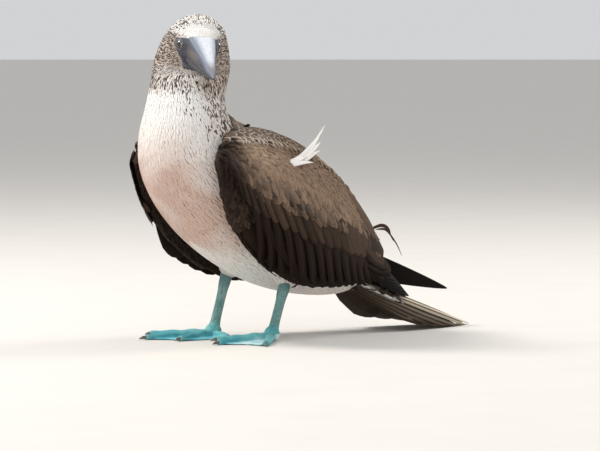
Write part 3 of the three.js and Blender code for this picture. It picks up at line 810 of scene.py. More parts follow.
def wingColours(s, t):
    light = covertTone(s, t)
    light = light * (1 + (0.3 + 0.9 * (1 - light)) * (draw.random(len(s)) * 2 - 1))
    shown = np.clip(light, 0, 1)[:, None]
    streak = np.exp(-((s - 0.2) / 0.1) ** 2 - ((t - 0.16) / 0.12) ** 2) * draw.random(len(s))
    tint = mixed(wingTones["dark"], wingTones["brown"], shown)
    tint = mixed(tint, wingTones["buff"], (streak * 0.7)[:, None])
    edge = mixed(tint, wingTones["buff"], shown * (0.35 + 0.4 * draw.random((len(s), 1))))
    return tint, edge


def longRow(side, row):  # the lines of a row of large feathers, and where on the wing each starts
    count = row["count"]
    place = np.linspace(0, 1, count)
    vary = 1 + row["uneven"] * (draw.random((2, count)) * 2 - 1)
    start = np.stack([mixed(*row["s"], place), mixed(*row["t"], place)])
    run, fall = start[..., None] + (np.array(row["reach"])[:, None] * vary)[..., None] * longShares
    outs = wingOut(np.minimum(run, 1))
    rise = row["lift"] * np.minimum(1, 2.4 * longShares) - 3.5 * np.maximum(0, 1 - 4 * longShares)
    half = row["width"] / 2 * roundHalf * (1 + 0.08 * (draw.random((count, 1)) * 2 - 1))
    return flipped(wingPoint(run, fall) + outs * rise[:, None], side), flipped(outs, side), half, start


plumages = dict(
    covert=plumage("wingCoverts", (3, 3), (0.35, 1.3), 0.3, 0.65, relief=0.05),
    flight=plumage("flightFeathers", (8, 9), (0.5, 1.1), 0.35, 0.75, shaft=0.4, relief=0.12),
    mantle=plumage("mantleFeathers", (3, 3), (0.25, 1.05), 0.3, 0.66, shaft=0.3, relief=0.06),
    tail=plumage("tailFeathers", (6, 8), (0.45, 1.2), 0.3, 0.5, shaft=0.8, relief=0.12),
    white=plumage("whitePlumage", (2, 3), (0.5, 1.6), 0.06, 0.85),
    streaked=plumage("streakedPlumage", (2, 4), (0.25, 1.1), 0.1, 0.8))
underPaint = grainy(300, 4, tone(26, 18, 13), tone(46, 34, 25), 0.0006)
underFinish = material("underPlumage", underPaint, **{"Roughness": 0.85, "Specular IOR Level": 0.1})
wingTrees = []


def mantleColours(spots):  # brown with pale fringes, paler towards the neck
    count = len(spots)
    fresh = 1 - fade(spots[:, 1:2], -70, 50)
    brown = paints["mantle"] * (0.6 + 0.5 * draw.random((count, 1)))
    tint = mixed(brown, paints["buff"], fresh * 0.5 * draw.random((count, 1)))
    fringe = mixed(paints["mantleEdge"], paints["white"], fresh * 0.5)
    return tint, mixed(tint, fringe, (0.66 + 0.3 * fresh) * (0.8 + 0.3 * draw.random((count, 1))))


covertRows = dict(  # t from and to, feathers apart, length and width, heights from the root to the tip
    coverts=dict(first=-0.1, last=0.4, radius=3.0, size=(14, 7), rise=(-2.4, -0.2, 0.7, 1.1, 1.2)),
    middleCoverts=dict(first=0.3, last=0.66, radius=3.9, size=(21, 9), rise=(-2.6, 0.4, 1.5, 1.9, 2.0)))
wingRows = dict(  # roots from and to, how far s and t run along a feather, and how pale it is
    greatCoverts=dict(count=20, s=(0.05, 0.84), t=(0.52, 0.3), reach=(0.12, 0.26), width=29, lift=0.5,
                      twist=0.03, uneven=0.05, pale=0.22),
    secondaries=dict(count=15, s=(0.2, 0.84), t=(0.62, 0.44), reach=(0.15, 0.41), width=37, lift=0.0,
                     twist=0.03, uneven=0.02, pale=0),
    hand=dict(count=11, s=(0.02, 0.27), t=(0.66, 0.84), reach=(0.3, 0.13), width=22, lift=0.0,
              twist=0.03, uneven=0.05, pale=0),
    tertials=dict(count=6, s=(0.6, 0.78), t=(0.14, 0.62), reach=(0.27, 0.12), width=24, lift=0.8,
                  twist=0.06, uneven=0.05, pale=0.5))
primaries = dict(  # how far each feather's end lies behind the tip
    root=(34, 146, 98), width=(17, 14), thick=0.7,
    left=dict(tip=(24, 244, 42), behind=(0, 7, 14, 22, 30, 39, 48, 60)),
    right=dict(tip=(2, 330, 46), behind=(0, 9, 18, 29, 40, 52, 66, 90)))
scapulars = dict(
    along=(0.03, 0.8), shift=(-7, 0, 0.5), across=(0.86, 0.1, -0.5), above=(0.5, 0.12, 0.86),
    wide=(24, 17), high=(6.5, 5), lie=(0.22, 1, -0.5), wild=0.1,
    radius=4.8, size=(19, 13.2), rise=(-0.8, 1.1, 1.9, 2.3, 2.4), thick=0.3)

for side, label in ((1, "Left"), (-1, "Right")):
    node = label.lower()
    core = finishPiece(wingBodyOf(side, label), underFinish, "brown_plumage", "wing_" + node)
    surface = surfaceOf(core)
    wingTrees.append(surface["tree"])

    # Small and middle coverts, set over the wing's body; the small ones also cover its front
    for name, row in covertRows.items():
        def outerSide(points, normals):
            s = wingPlace(points, side)[:, 0]
            return (facing(normals, s, side) > -0.15) | ((s < 0.4) & (row["first"] < 0))

        spots, normals, patches = scatter(surface, outerSide, row["radius"])
        s, t = wingPlace(spots, side).T
        inner = facing(normals, s, side) < -0.15
        if name == "coverts":
            lowest = row["last"] + 0.65 * np.maximum(1 - fade(s, 0.16, 0.3), inner)
        else:
            lowest = row["last"] - 0.36 * s
        keep = (t < lowest) & (t > row["first"]) & (s < 0.93 - 0.2 * t)
        spots, normals, patches, s, t, inner = (v[keep] for v in (spots, normals, patches, s, t, inner))
        lies = unit(flipped(wingPoint(s + 0.02, t + 0.036) - wingPoint(s, t), side))
        lies = flatten(lies + 0.12 * draw.standard_normal(spots.shape), normals)
        grown = 0.6 + 0.5 * fade(t, 0, 0.3) + 0.15 * draw.random(len(s))
        heights = np.where(inner, 1.4, wingSunk(t))[:, None] + row["rise"] + 0.3 * draw.random((len(s), 1))
        lines, outs = layDown(surface, spots - lies * 3, lies, row["size"][0] * grown, heights, softShares)
        tint, edge = wingColours(np.where(inner, 0, s), t)
        half = row["size"][1] / 2 * softHalf * (grown * (0.9 + 0.2 * draw.random(len(s))))[:, None]
        piece = vanes(name + label, lines, outs, half, 0.22, tint, edge, camber=0.04, patches=patches)
        finishPiece(piece, plumages["covert"], "brown_plumage")

    # Rows of large feathers: great coverts, secondaries, the hand and tertials
    ready = [(name, row, longRow(side, row)) for name, row in wingRows.items()]
    for name, row, (spine, outs, half, start) in ready:
        tint, edge = wingColours(*start)
        dark = tone(34, 22, 15) * (0.85 + 0.3 * draw.random((len(tint), 1)))
        tint, edge = mixed(dark, tint, row["pale"]), mixed(tone(52, 37, 27), edge, row["pale"])
        twist = row["twist"] * side
        piece = vanes(name + label, spine, outs, half, 0.28, tint, edge, fullSection, 0.04, twist)
        finishPiece(piece, plumages["flight"], "brown_plumage")

    # Folded primaries, staggered to the long tips
    tip = np.array(primaries[node]["tip"])
    behind = np.array(primaries[node]["behind"])[:, None]
    root = np.array(primaries["root"], float)
    along = unit(tip - root)
    steps = np.arange(len(behind))[:, None]
    ends = tip - along * behind + steps * (0.6, 0, 1.6)
    starts = root + steps * (0.6, 0, 0.9)
    spine = mixed(starts[:, None], ends[:, None], longShares[None, :, None])
    outs = np.broadcast_to(unit(np.array([0.9, 0.1, 0.45])), spine.shape)
    half = np.linspace(*primaries["width"], len(steps))[:, None] * primaryHalf
    tint = tone(20, 15, 14) * (0.8 + 0.5 * draw.random((len(steps), 1)))
    # painted sheen: the left wing's primaries, on the side the camera sees, are mixed towards a lighter grey
    tint = mixed(tint, tone(42, 37, 40), 0.6 * (side > 0))
    piece = vanes("primaries" + label, flipped(spine, side), flipped(outs, side), half, primaries["thick"],
                  tint, tint * 1.7, fullSection, 0.02, 0.06 * side)
    finishPiece(piece, plumages["flight"], "blackish_plumage", "primaries_" + node)

    # Scaly scapulars on a pad that roofs the gap between the back and the wing and stands over the coverts
    u = np.linspace(0, 1, 40)
    full = np.sin(math.pi * np.clip(u * 0.94 + 0.03, 0, 1)) ** 0.6
    centres = wingUpper(mixed(*scapulars["along"], u)) + scapulars["shift"]
    across, above = (unit(np.array(scapulars[way])) for way in ("across", "above"))
    wide, high = ((mixed(*scapulars[size], u) * full)[:, None] for size in ("wide", "high"))
    pad = tube("scapularPad" + label, flipped(around(centres, across * wide, above * high, 36), side))
    unwrap(pad)
    smoothShade(pad)
    finishPiece(pad, underFinish, "brown_plumage")
    surface = surfaceOf(pad)
    spots, normals, patches = scatter(
        surface, lambda points, normals: (normals * flipped(above, side)).sum(1) > -0.3, scapulars["radius"])
    count = len(spots)
    lies = flipped(np.array(scapulars["lie"]), side) + scapulars["wild"] * draw.standard_normal(spots.shape)
    heights = np.array(scapulars["rise"]) + 0.4 * draw.random((count, 1))
    grown = 0.85 + 0.3 * draw.random(count)
    lines, outs = layDown(
        surface, spots, flatten(lies, normals), scapulars["size"][0] * grown, heights, softShares)
    tint, edge = mantleColours(spots)
    half = scapulars["size"][1] / 2 * softHalf * grown[:, None]
    piece = vanes("scapulars" + label, lines, outs, half, scapulars["thick"], tint, edge, camber=0.06,
                  patches=patches)
    finishPiece(piece, plumages["mantle"], "brown_plumage")

torn = np.interp(longShares, (0, 0.2, 0.5, 0.8, 1), (0.1, 0.8, 1, 0.55, 0.05))
looseFeathers = dict(
    ruffledFeather=dict(
        lines=[
            [(60, 4, 206), (70, 22, 214), (63, 52, 225), (50, 88, 256)],
            [(60, 12, 208), (68, 32, 218), (60, 60, 233), (49, 86, 250)],
            [(58, 28, 210), (65, 46, 220), (59, 64, 228), (53, 79, 236)],
            [(58, 30, 206), (66, 46, 216), (61, 62, 222), (57, 75, 226)],
            [(62, 8, 204), (71, 24, 211), (68, 42, 213), (63, 60, 212)]],
        out=(1, 0.2, 0.3), widths=(8, 5.5, 6, 5, 6), shades=(1, 0.95, 0.97, 0.9, 0.95),
        tint=paints["white"], edge=paints["cream"], finish="white", slot="white_plumage"),
    hangingTag=dict(
        lines=[
            [(22, 176, 124), (24, 200, 131), (24, 211, 126), (24, 215, 116)],
            [(24, 206, 129), (24, 214, 119), (24, 224, 107), (23, 234, 91)],
            [(23, 190, 126), (25, 204, 126), (25, 212, 120), (24, 219, 110)]],
        out=(1, 0.2, 0.1), widths=(5, 2.6, 3.4), shades=(1, 1, 1),
        tint=tone(60, 44, 32), edge=tone(120, 96, 70), finish="covert", slot="brown_plumage"))
for name, loose in looseFeathers.items():
    spine = np.stack([smoothRun(line)(longShares) for line in loose["lines"]])
    outs = np.broadcast_to(unit(np.array(loose["out"])), spine.shape)
    half = np.array(loose["widths"])[:, None] / 2 * torn
    tint = loose["tint"] * np.array(loose["shades"])[:, None]
    edge = np.tile(loose["edge"], (len(spine), 1))
    piece = vanes(name, spine, outs, half, 0.7, tint, edge, fullSection, 0.05)
    finishPiece(piece, plumages[loose["finish"]], loose["slot"])


print("coat")

coatShares = np.array([0, 0.4, 0.75, 1])
coatHalf = np.array([0.6, 1, 0.75, 0.16])
coats = dict(  # feathers apart, length and width, heights from the root to the tip, thickness, unruliness
    head=dict(radius=1.1, size=(4.6, 1.5), rise=(-0.3, 0.36, 0.5, 0.54), thick=0.1, wild=0.14,
              finish="streaked", slot="streaked_plumage"),
    neck=dict(radius=1.4, size=(8.5, 2.2), rise=(-0.3, 0.3, 0.32, 0.18), thick=0.08, wild=0.09,
              finish="streaked", slot="streaked_plumage"),
    breast=dict(radius=1.85, size=(12.5, 3.9), rise=(-0.3, 0.3, 0.3, 0.12), thick=0.08, wild=0.06,
                finish="white", slot="white_plumage"),
    mantle=dict(radius=5.8, size=(20, 15), rise=(-0.6, 1.5, 2.2, 2.4), thick=0.3, wild=0.08,
                finish="mantle", slot="brown_plumage"))
mostPerPiece = 6800  # keeps each piece under 200,000 triangles


def bodyLie(points, normals):
    head = toHead(points)
    outward = unit(head * (1, 0, 1))
    flow = unit(np.array([0, 1, -0.15]) + 0.75 * outward * fade(-head[:, 1:2], -5, 25)) @ headAxes.T
    z = points[:, 2:]
    flow = mixed(unit(np.array([0, 0.2, -1.0])), flow, fade(z, 308, 336))
    flow = mixed(np.array([0, 0.75, -0.66]), flow, fade(z, 200, 262))
    return flatten(flow, normals)


def showsOut(spots, normals):  # not under a wing
    seen = np.ones(len(spots), bool)
    for i, (spot, normal) in enumerate(zip(spots, normals)):
        for tree in wingTrees:
            hit = tree.ray_cast(Vector(spot + normal * 0.3), Vector(normal), 45)
            if hit[0] is not None:
                seen[i] = False
    return seen


def zoneOf(points, normals):  # 0 head, 1 neck, 2 breast and belly, 3 mantle and back
    dorsal = markings(points, normals)[2] > 0.35
    zone = np.where(points[:, 2] > 318, 0, np.where(points[:, 2] > 236, 1, 2))
    return np.where(dorsal, 3, zone)


for number, (name, coat) in enumerate(coats.items()):
    spots, normals, patches = scatter(
        skinFace, lambda points, normals: zoneOf(points, normals) == number, coat["radius"])
    keep = (bareSkin(spots) < 0.5) & showsOut(spots, normals)
    spots, normals, patches = (v[keep] for v in (spots, normals, patches))
    lies = flatten(bodyLie(spots, normals) + coat["wild"] * draw.standard_normal(spots.shape), normals)
    ground, streaks, _ = markings(spots, normals)
    count = len(spots)
    grown = 0.85 + 0.3 * draw.random(count)
    if name == "neck":  # as large as the breast's where they meet
        grown *= mixed(1.4, 1, fade(spots[:, 2], 240, 285))
    if name == "head":  # shorter and finer towards the bill
        grown *= mixed(0.62, 1, 1 - fade(-toHead(spots)[:, 1], -4, 26))
    heights = np.array(coat["rise"]) * (0.8 + 0.4 * draw.random((count, 1)))
    lines, outs = layDown(skinFace, spots, lies, coat["size"][0] * grown, heights, coatShares)
    vary = 0.96 + 0.07 * draw.random((count, 1))
    dark = (draw.random(count) < streaks)[:, None]
    half = coat["size"][1] / 2 * coatHalf * grown[:, None] * (0.85 + 0.3 * draw.random((count, 1)))
    half = half * np.where(dark, 0.75, 1)
    low = 1 - fade(spots[:, 2:], 350, 372)
    speck = paints["speck"] * (0.5 + (0.7 + 2.6 * low) * draw.random((count, 1)) ** 2)
    tan = np.clip(3 * (paints["white"] - ground)[:, 2:], 0, 1) * fade(spots[:, 2:], 236, 290)
    mottled = mixed(paints["mantle"], paints["white"], draw.random((count, 1)))  # on brown cheeks
    ground = mixed(ground, mottled, 0.6 * tan * draw.random((count, 1)))
    tint = np.where(dark, speck, ground * vary)
    edge = np.where(dark, mixed(speck, ground, 0.85), mixed(ground * vary, paints["white"], 0.4 * tan))
    if name == "mantle":
        tint, edge = mantleColours(spots)
    parts = np.array_split(np.argsort(spots[:, 2]), math.ceil(count / mostPerPiece))
    for k, part in enumerate(parts):
        piece = vanes(f"coat{name.title()}{k + 1}", lines[part], outs[part], half[part], coat["thick"],
                      tint[part], edge[part], camber=0.025, patches=patches[part])
        finishPiece(piece, plumages[coat["finish"]], coat["slot"])
    print(name, "feathers", count)


print("tail")

tail = dict(
    root=158,
    middle=((0, 158, 359), (126.1, 71, 0.9)),  # y and height of the line along its middle
    pairs=(  # how far back the tip is, sideways, below the middle pair, width, paleness
        (359, 6, 0, 22, 0.95), (345, 15, 4, 25, 0.5), (325, 22, 9, 26, 0.14),
        (303, 28, 13.5, 26, 0.06), (281, 32, 17.5, 25, 0.03), (260, 35, 21, 24, 0)),
    half=((0, 0.3, 0.7, 0.88, 0.96, 1), (0.5, 0.95, 1, 0.8, 0.5, 0.12)),
    tints=(tone(56, 42, 30), tone(222, 207, 184)), edges=(tone(84, 68, 50), tone(188, 166, 138)))


def tailSpine(y, out, drop):
    return np.stack([out + 0 * y, y, np.interp(y, *tail["middle"]) - drop], -1)


spines, halves, outs, pales = [], [], [], []
for side in (1, -1):
    for i, (tip, out, drop, width, pale) in enumerate(tail["pairs"]):
        u = longShares
        y = mixed(tail["root"], tip - (3 * i if side < 0 else 0), u)
        sink = drop * np.minimum(1, 0.35 + u) + i * 1.1
        line = tailSpine(y, side * mixed(out * 0.45, out, np.minimum(1, u * 1.4)), sink)
        line[:, 2] = np.maximum(line[:, 2], 1.0)
        spines.append(line)
        halves.append(width / 2 * np.interp(u, *tail["half"]))
        outs.append(unit(np.array([side * (0.16 + 0.12 * i), 0.2, 1.0])))
        pales.append([pale])
spines = np.stack(spines)
outs = np.broadcast_to(np.stack(outs)[:, None], spines.shape)
tints, edges = (mixed(*tail[name], np.array(pales)) for name in ("tints", "edges"))
piece = vanes("tailFeathers", spines, outs, np.stack(halves), 1.0, tints, edges, fullSection, 0.06,
              np.repeat([-0.1, 0.1], 6))
finishPiece(piece, plumages["tail"], "tail_plumage", "tail")

tailCover = dict(
    core=[(166, 20, 13, 3), (178, 19, 11, 2), (190, 20, 11, 1),  # y, half width, half height, height
          (214, 25, 7.5, -2), (232, 22, 5, -4), (248, 12, 2, -5)],
    radius=3.2, size=(17, 9.2), rise=(-0.4, 1.0, 1.7, 2.0), thick=0.25, lie=(0, 0.94, -0.33), wild=0.08,
    long=(-1.3, -0.6, 0, 0.6, 1.3))  # how far to the side each of the long ones lies
lines = smoothRun(tailCover["core"])(np.linspace(0, 1, 30))
angles = np.arange(32) / 32 * 2 * math.pi
heights = tailSpine(lines[:, 0], 0, -lines[:, 3])[:, 2:]
rings = np.stack([lines[:, 1:2] * np.cos(angles), np.repeat(lines[:, :1], 32, 1),
                  heights + lines[:, 2:3] * np.sin(angles) - 6 * np.cos(angles) ** 2], 2)
rump = tube("tailRoot", rings)
unwrap(rump)
smoothShade(rump)
finishPiece(rump, underFinish, "tail_plumage")
surface = surfaceOf(rump)
spots, normals, patches = scatter(surface, lambda points, normals: points[:, 1] > 170, tailCover["radius"])
lies = flatten(tailCover["lie"] + tailCover["wild"] * draw.standard_normal(spots.shape), normals)
count = len(spots)
heights = np.array(tailCover["rise"]) * (0.8 + 0.4 * draw.random((count, 1)))
lengths = tailCover["size"][0] * (0.8 + 0.4 * draw.random(count))
lines, outs = layDown(surface, spots, lies, lengths, heights, coatShares)
lower = fade(-normals[:, 2:], 0.25, 0.7) * (1 - fade(spots[:, 1:2], 205, 235))
tint = mixed(tone(52, 39, 30) * (0.8 + 0.4 * draw.random((count, 1))), paints["white"], lower)
edge = mixed(tint, paints["mantleEdge"], 0.12)
half = tailCover["size"][1] / 2 * coatHalf * (0.85 + 0.3 * draw.random((count, 1)))
piece = vanes("tailCoverts", lines, outs, half, tailCover["thick"], tint, edge, camber=0.04, patches=patches)
finishPiece(piece, plumages["mantle"], "tail_plumage")
over = np.stack([tailSpine(mixed(188, 262 - 14 * abs(i), longShares), 11 * i, mixed(-8, -2, longShares))
                 for i in tailCover["long"]])
outs = np.broadcast_to(unit(np.array([0, 0.2, 1.0])), over.shape)
tint, edge = (np.tile(colour, (len(over), 1)) for colour in (tone(60, 46, 35), tone(104, 84, 64)))
half = np.tile(9 * longHalf, (len(over), 1))
piece = vanes("longTailCoverts", over, outs, half, 0.8, tint, edge, fullSection, 0.1)
finishPiece(piece, plumages["mantle"], "tail_plumage")


print("bill and eyes")

bill = dict(
    base=30.3, length=94.7,
    sides=[  # share forward, top, flat half width, half width, cutting edge, underside
        (0, 16.2, 15, 17, -8.6, -18.6), (0.16, 14, 13.2, 15.4, -8.4, -18.4),
        (0.32, 11.3, 11.2, 13.4, -8, -17.4), (0.48, 8.3, 8.5, 10.8, -7.5, -15.4),
        (0.64, 5.2, 6, 8.3, -7, -13.2), (0.79, 2, 4.3, 6.2, -6.4, -10.9), (0.89, -0.4, 3, 4.5, -6, -9.2),
        (0.96, -2.8, 1.7, 2.7, -6.2, -7.9), (1, -5.6, 0.4, 0.7, -6.9, -7.2)])
billRows = np.array(bill["sides"])


def billRings(profile):
    shares = np.concatenate([[-0.05], np.linspace(0, 1, 26)])
    read = lambda at: np.stack([np.interp(at, billRows[:, 0], billRows[:, k]) for k in range(1, 6)], 1)
    before, after = (read(np.clip(shares + step, 0, 1)) for step in (-0.04, 0.04))
    rows = (2 * read(shares) + before + after) / 4
    rings = []
    for share, row in zip(shares, rows):
        half = np.array(profile(share, *row))
        ring = np.concatenate([half, half[-2:0:-1] * (-1, 1)])
        y = -(bill["base"] + share * bill["length"])
        rings.append(np.stack([ring[:, 0], np.full(len(ring), y), ring[:, 1]], 1))
    return fromHead(np.array(rings))


def upperProfile(share, top, flat, half, edge, under):
    groove = 0.55 * (1 - fade(share, 0.7, 0.95))
    down = lambda u: mixed(top, edge, u)
    return [
        (0, top + 0.5), (flat * 0.35, top + 0.45), (flat * 0.75, top + 0.15), (flat * 0.97, top - 0.35),
        (flat + 0.35, top - 1.0), (flat + 0.2, top - 1.7), (mixed(flat, half, 0.45) + 0.6, down(0.3)),
        (half, down(0.5)), (half + 0.1 - groove, down(0.6)), (half + 0.1, down(0.7)),
        (half - 0.1, down(0.86)), (half - 0.5, edge + 0.5), (half - 0.9, edge), (half * 0.5, edge + 0.5),
        (0, edge + 0.6)]


def lowerProfile(share, top, flat, half, edge, under):
    lip = edge - 0.35
    down = lambda u: mixed(lip, under, u)
    return [
        (0, lip - 0.4), (half * 0.5, lip - 0.3), (half - 1.2, lip), (half - 0.7, down(0.14)),
        (half - 0.6, down(0.34)), (half - 1.1, down(0.55)), (half * 0.8, down(0.78)),
        (half * 0.5, down(0.95)), (half * 0.18, under - 0.1), (0, under)]


def offsetFrom(s, centre):
    return s.object().vectorSum("SUBTRACT", tuple((centre + stance) / 1000))


def headPlace(s):  # the head's own axes inside a shader: left, back and up, in millimetres
    offset = offsetFrom(s, headCentre)
    return [offset.vectorSum("DOT_PRODUCT", tuple(headAxes[:, k] * 1000), output=1) for k in range(3)]


def upperPaint(s):
    left, back, up = headPlace(s)
    share = (back * -1 - bill["base"]) / bill["length"]
    level = s.node("ShaderNodeFloatCurve", {}, {"Value": share})
    curve = level.socket.node.mapping.curves[0]
    ridge = billRows[[0, 2, 4, 5, 7, 8], :2]  # share forward and top
    while len(curve.points) < len(ridge):
        curve.points.new(0.5, 0.5)
    for point, (x, top) in zip(curve.points, ridge):
        point.location = (x, top / 40 + 0.5)
    level.socket.node.mapping.update()
    top = (level - 0.5) * 40
    plate = (up - top).between(-2.6, -0.6)
    place = s.object()
    fine = place.noise(700, 4)
    streak = s.together(left * 0.5, back * 0.05, up * 0.5).noise(2.2, 4)
    horn = streak.between(0.35, 0.7).colours(tone(196, 201, 210), tone(226, 228, 232))
    rim = abs(left / (share * -14 + 15.5)).between(0.45, 1.0)
    horn = (rim * 0.6).colours(horn, tone(112, 124, 142))
    # painted shade: the plate turns darker blue-grey towards the bird's right side
    horn = ((left * -1 / (share * -14 + 15.5)).between(0.0, 0.9) * 0.7).colours(horn, tone(92, 104, 122))
    horn = (share.between(0.58, 0.9) * 0.85).colours(horn, tone(104, 98, 106))
    dark = fine.between(0.3, 0.75).colours(tone(50, 50, 58), tone(84, 80, 84))
    patch = (1 - abs(share - 0.3).between(0.05, 0.3)) * (1 - abs(up - 2).between(1, 7))
    side = (patch * 0.55).colours(dark, tone(116, 106, 100))
    side = (up - top).between(-6.5, -1.5).colours(side, tone(84, 96, 112))
    colour = plate.colours(side, horn)
    worn = (fine.between(0.62, 0.8) * 0.3).colours(colour, tone(140, 134, 130))
    height = streak * 0.6 + fine * 0.4
    return {"Base Color": worn, "Roughness": 0.42 + streak * 0.2, "bump": (height, 0.0005)}


lowerPaint = grainy(600, 4, tone(44, 44, 52), tone(80, 78, 84), 0.0004, (0.3, 0.75), (0.45, 0.2))
for name, node, profile, paint, slot in (
        ("billUpper", "bill_upper", upperProfile, upperPaint, "bill_blue_grey"),
        ("billLower", "bill_lower", lowerProfile, lowerPaint, "bill_slate")):
    piece = tube(name, billRings(profile))
    subdivide(piece, 2)
    smoothShade(piece, 45)
    finishPiece(piece, material(name + "Horn", paint), slot, node)


def eyePaint(side):
    centre = fromEye(np.zeros((1, 3)), side)[0]
    axis = (headAxes @ eyeSpin(side))[:, 2]

    def paint(s):
        off = offsetFrom(s, centre).vectorSum("CROSS_PRODUCT", tuple(axis * 1000))
        reach = off.vectorSum("LENGTH", output=1)
        fibre = s.object().noise(1500, 3)
        iris = fibre.between(0.3, 0.75).colours(tone(112, 110, 92), tone(156, 152, 122))
        iris = reach.between(3.7, 4.5).colours(iris, tone(86, 84, 80))
        colour = reach.between(3.35, 3.65).colours(tone(6, 5, 6), iris)
        colour = reach.between(4.5, 4.8).colours(colour, tone(26, 25, 30))
        return {"Base Color": colour, "Roughness": 0.06 + reach.between(4.6, 5.2) * 0.3}
    return paint


lidPaint = grainy(1400, 4, tone(80, 78, 92), tone(122, 116, 130), 0.0003, (0.35, 0.7), (0.5, 0.15))
lidFinish = material("eyeRing", lidPaint)
for side, label in ((1, "Left"), (-1, "Right")):
    eye, ball = ballAt("eye" + label, side, eyes["radius"])
    bulge = 0.7 * np.exp(-(ball[:, 0] ** 2 + ball[:, 1] ** 2) / 0.16) * (ball[:, 2] > 0)
    movePoints(eye, fromEye(ball * (eyes["radius"] + bulge)[:, None], side))
    smoothShade(eye)
    eyeFinish = material("eye" + label, eyePaint(side), **{"Coat Weight": 1.0, "Coat Roughness": 0.02})
    finishPiece(eye, eyeFinish, "eye_yellow", "eye_" + label.lower())
    deselect()
    lid = eyes["lid"]
    bpy.ops.mesh.primitive_torus_add(major_segments=72, minor_segments=16, major_radius=1, minor_radius=0.25)
    ring = named(bpy.context.object, "eyeRing" + label)
    torus = asMade(ring)
    turnedBy = np.arctan2(torus[:, 1], torus[:, 0])
    out = np.hypot(torus[:, 0], torus[:, 1]) - 1
    folds = 1 + 0.06 * np.sin(turnedBy * 23) + 0.05 * np.sin(turnedBy * 9 + 1)
    wide = lid["ring"] + out * lid["thick"] * 4.6 * folds
    lift = lid["lift"] + torus[:, 2] * lid["thick"] * 4 * folds - np.maximum(out, 0) * 5
    oval = np.stack([np.cos(turnedBy) * wide, np.sin(turnedBy) * wide * 0.97, lift], 1)
    movePoints(ring, fromEye(oval, side))
    outwards(ring)
    smoothShade(ring)
    finishPiece(ring, lidFinish, "bill_slate")


print("legs and feet")

toes = [
    dict(angle=-104, length=33, claw=7), dict(angle=-31, length=66, claw=8),
    dict(angle=0, length=86, claw=9), dict(angle=42, length=79, claw=8)]


def toeWay(angle):
    angle = np.radians(angle)
    return np.stack([np.sin(angle), -np.cos(angle), 0 * angle], -1)


def toeTube(angle, start, reach, wide, high, lift, sides=16):  # arrays along the toe
    way = toeWay(np.float64(angle))
    across = np.array([-way[1], way[0], 0])
    a = np.arange(sides) / sides * 2 * math.pi
    return (way * (start + reach)[:, None, None] + across * (wide[:, None] * np.cos(a))[..., None]
            + np.array([0, 0, 1]) * (lift[:, None] + high[:, None] * np.sin(a))[..., None])


def footPlace(points, foot, side):
    turned = math.radians(foot["turnOut"]) * (1 if side == "left" else -1)
    points = points * (1 if side == "left" else -1, 1, 1)
    c, d = math.cos(turned), math.sin(turned)
    return points @ np.array([[c, d, 0], [-d, c, 0], [0, 0, 1]]) + (*foot["at"], 0)


def webTube(a, b, across=20, out=16):
    u = np.linspace(0, 1, across + 1)
    way = toeWay(mixed(a["angle"], b["angle"], u))
    deep = 0.1 + (b["angle"] - a["angle"]) / 400
    far = mixed(a["length"], b["length"], u) * (1 - deep * np.sin(math.pi * u)) * 0.96
    rings = []
    for k in np.linspace(0, 1, out + 1):
        reach = mixed(3, far, k)
        fold = 0.35 * np.sin(u * 22) * np.sin(math.pi * u) * k
        height = mixed(4.6, 2.6, k) - 0.9 * np.sin(math.pi * u) + fold
        top = way * reach[:, None] + np.stack([0 * u, 0 * u, height], 1)
        rings.append(np.concatenate([top, (top - (0, 0, 1.5))[::-1]]))
    return np.array(rings)


def footPaint(s):
    place = s.object()
    web, low, toe = (s.named("foot").part(axis) for axis in range(3))
    ice = s.named("ice", 2)
    broad, fine = place.noise(45, 4), place.noise(420, 4)
    toEdge = {"feature": "DISTANCE_TO_EDGE"}
    cells = s.node("ShaderNodeTexVoronoi", toEdge, {"Vector": place, "Scale": 620.0})
    leg = broad.between(0.35, 0.7).colours(tone(104, 146, 142), tone(150, 184, 176))
    leg = (fine.between(0.52, 0.66) * 0.6).colours(leg, tone(66, 96, 98))
    leg = (place.part(2).between(0.05, 0.07) * 0.6).colours(leg, tone(58, 92, 100))
    toes = broad.between(0.35, 0.65).colours(tone(64, 158, 168), tone(120, 196, 196))
    toes = (place.noise(90, 3).between(0.5, 0.7) * 0.5).colours(toes, tone(104, 176, 150))
    sheet = broad.between(0.35, 0.65).colours(tone(72, 170, 188), tone(132, 206, 214))
    pale = place.noise(70, 4).between(0.35, 0.65).colours(tone(160, 216, 222), tone(214, 238, 240))
    sheet = ice.colours(sheet, pale)
    colour = low.colours(web.colours(toes, sheet), leg)
    crease = 1 - cells.between(0.0, 0.12)
    colour = (crease * (0.34 - web * 0.2)).colours(colour, tone(44, 100, 112))
    scute = s.sum("SINE", toe * 2.1)
    colour = (scute.between(0.7, 1.0) * (1 - web) * (1 - low) * 0.35).colours(colour, tone(56, 128, 140))
    height = cells.between(0, 0.25) * 0.5 + fine * 0.4 - scute * 0.25 * (1 - web)
    return {"Base Color": colour, "Roughness": 0.5 + fine * 0.2, "bump": (height, 0.0006)}


footFinish = material("blueFoot", footPaint)
clawPaint = grainy(500, 4, tone(64, 60, 60), tone(128, 120, 112), 0.0003, (0.3, 0.7))
clawFinish = material("claw", clawPaint, Roughness=0.38)
legLines = np.array([  # share from the top, half width and half depth
    (0, 6.4, 8.2), (0.14, 6.2, 8), (0.28, 4.9, 6.9), (0.5, 4.4, 6.6), (0.75, 4.6, 6.8),
    (0.9, 6, 8), (1, 7.2, 9)])
heel = dict(size=(8.6, 10.5, 10.5), at=(0, 1, 7.4))
clawSizes = ((2.4, 1.9, 1.2, 0.3), (2.5, 2.1, 1.4, 0.4), (3, 3.2, 2.6, 1.4))  # half width, half height, lift

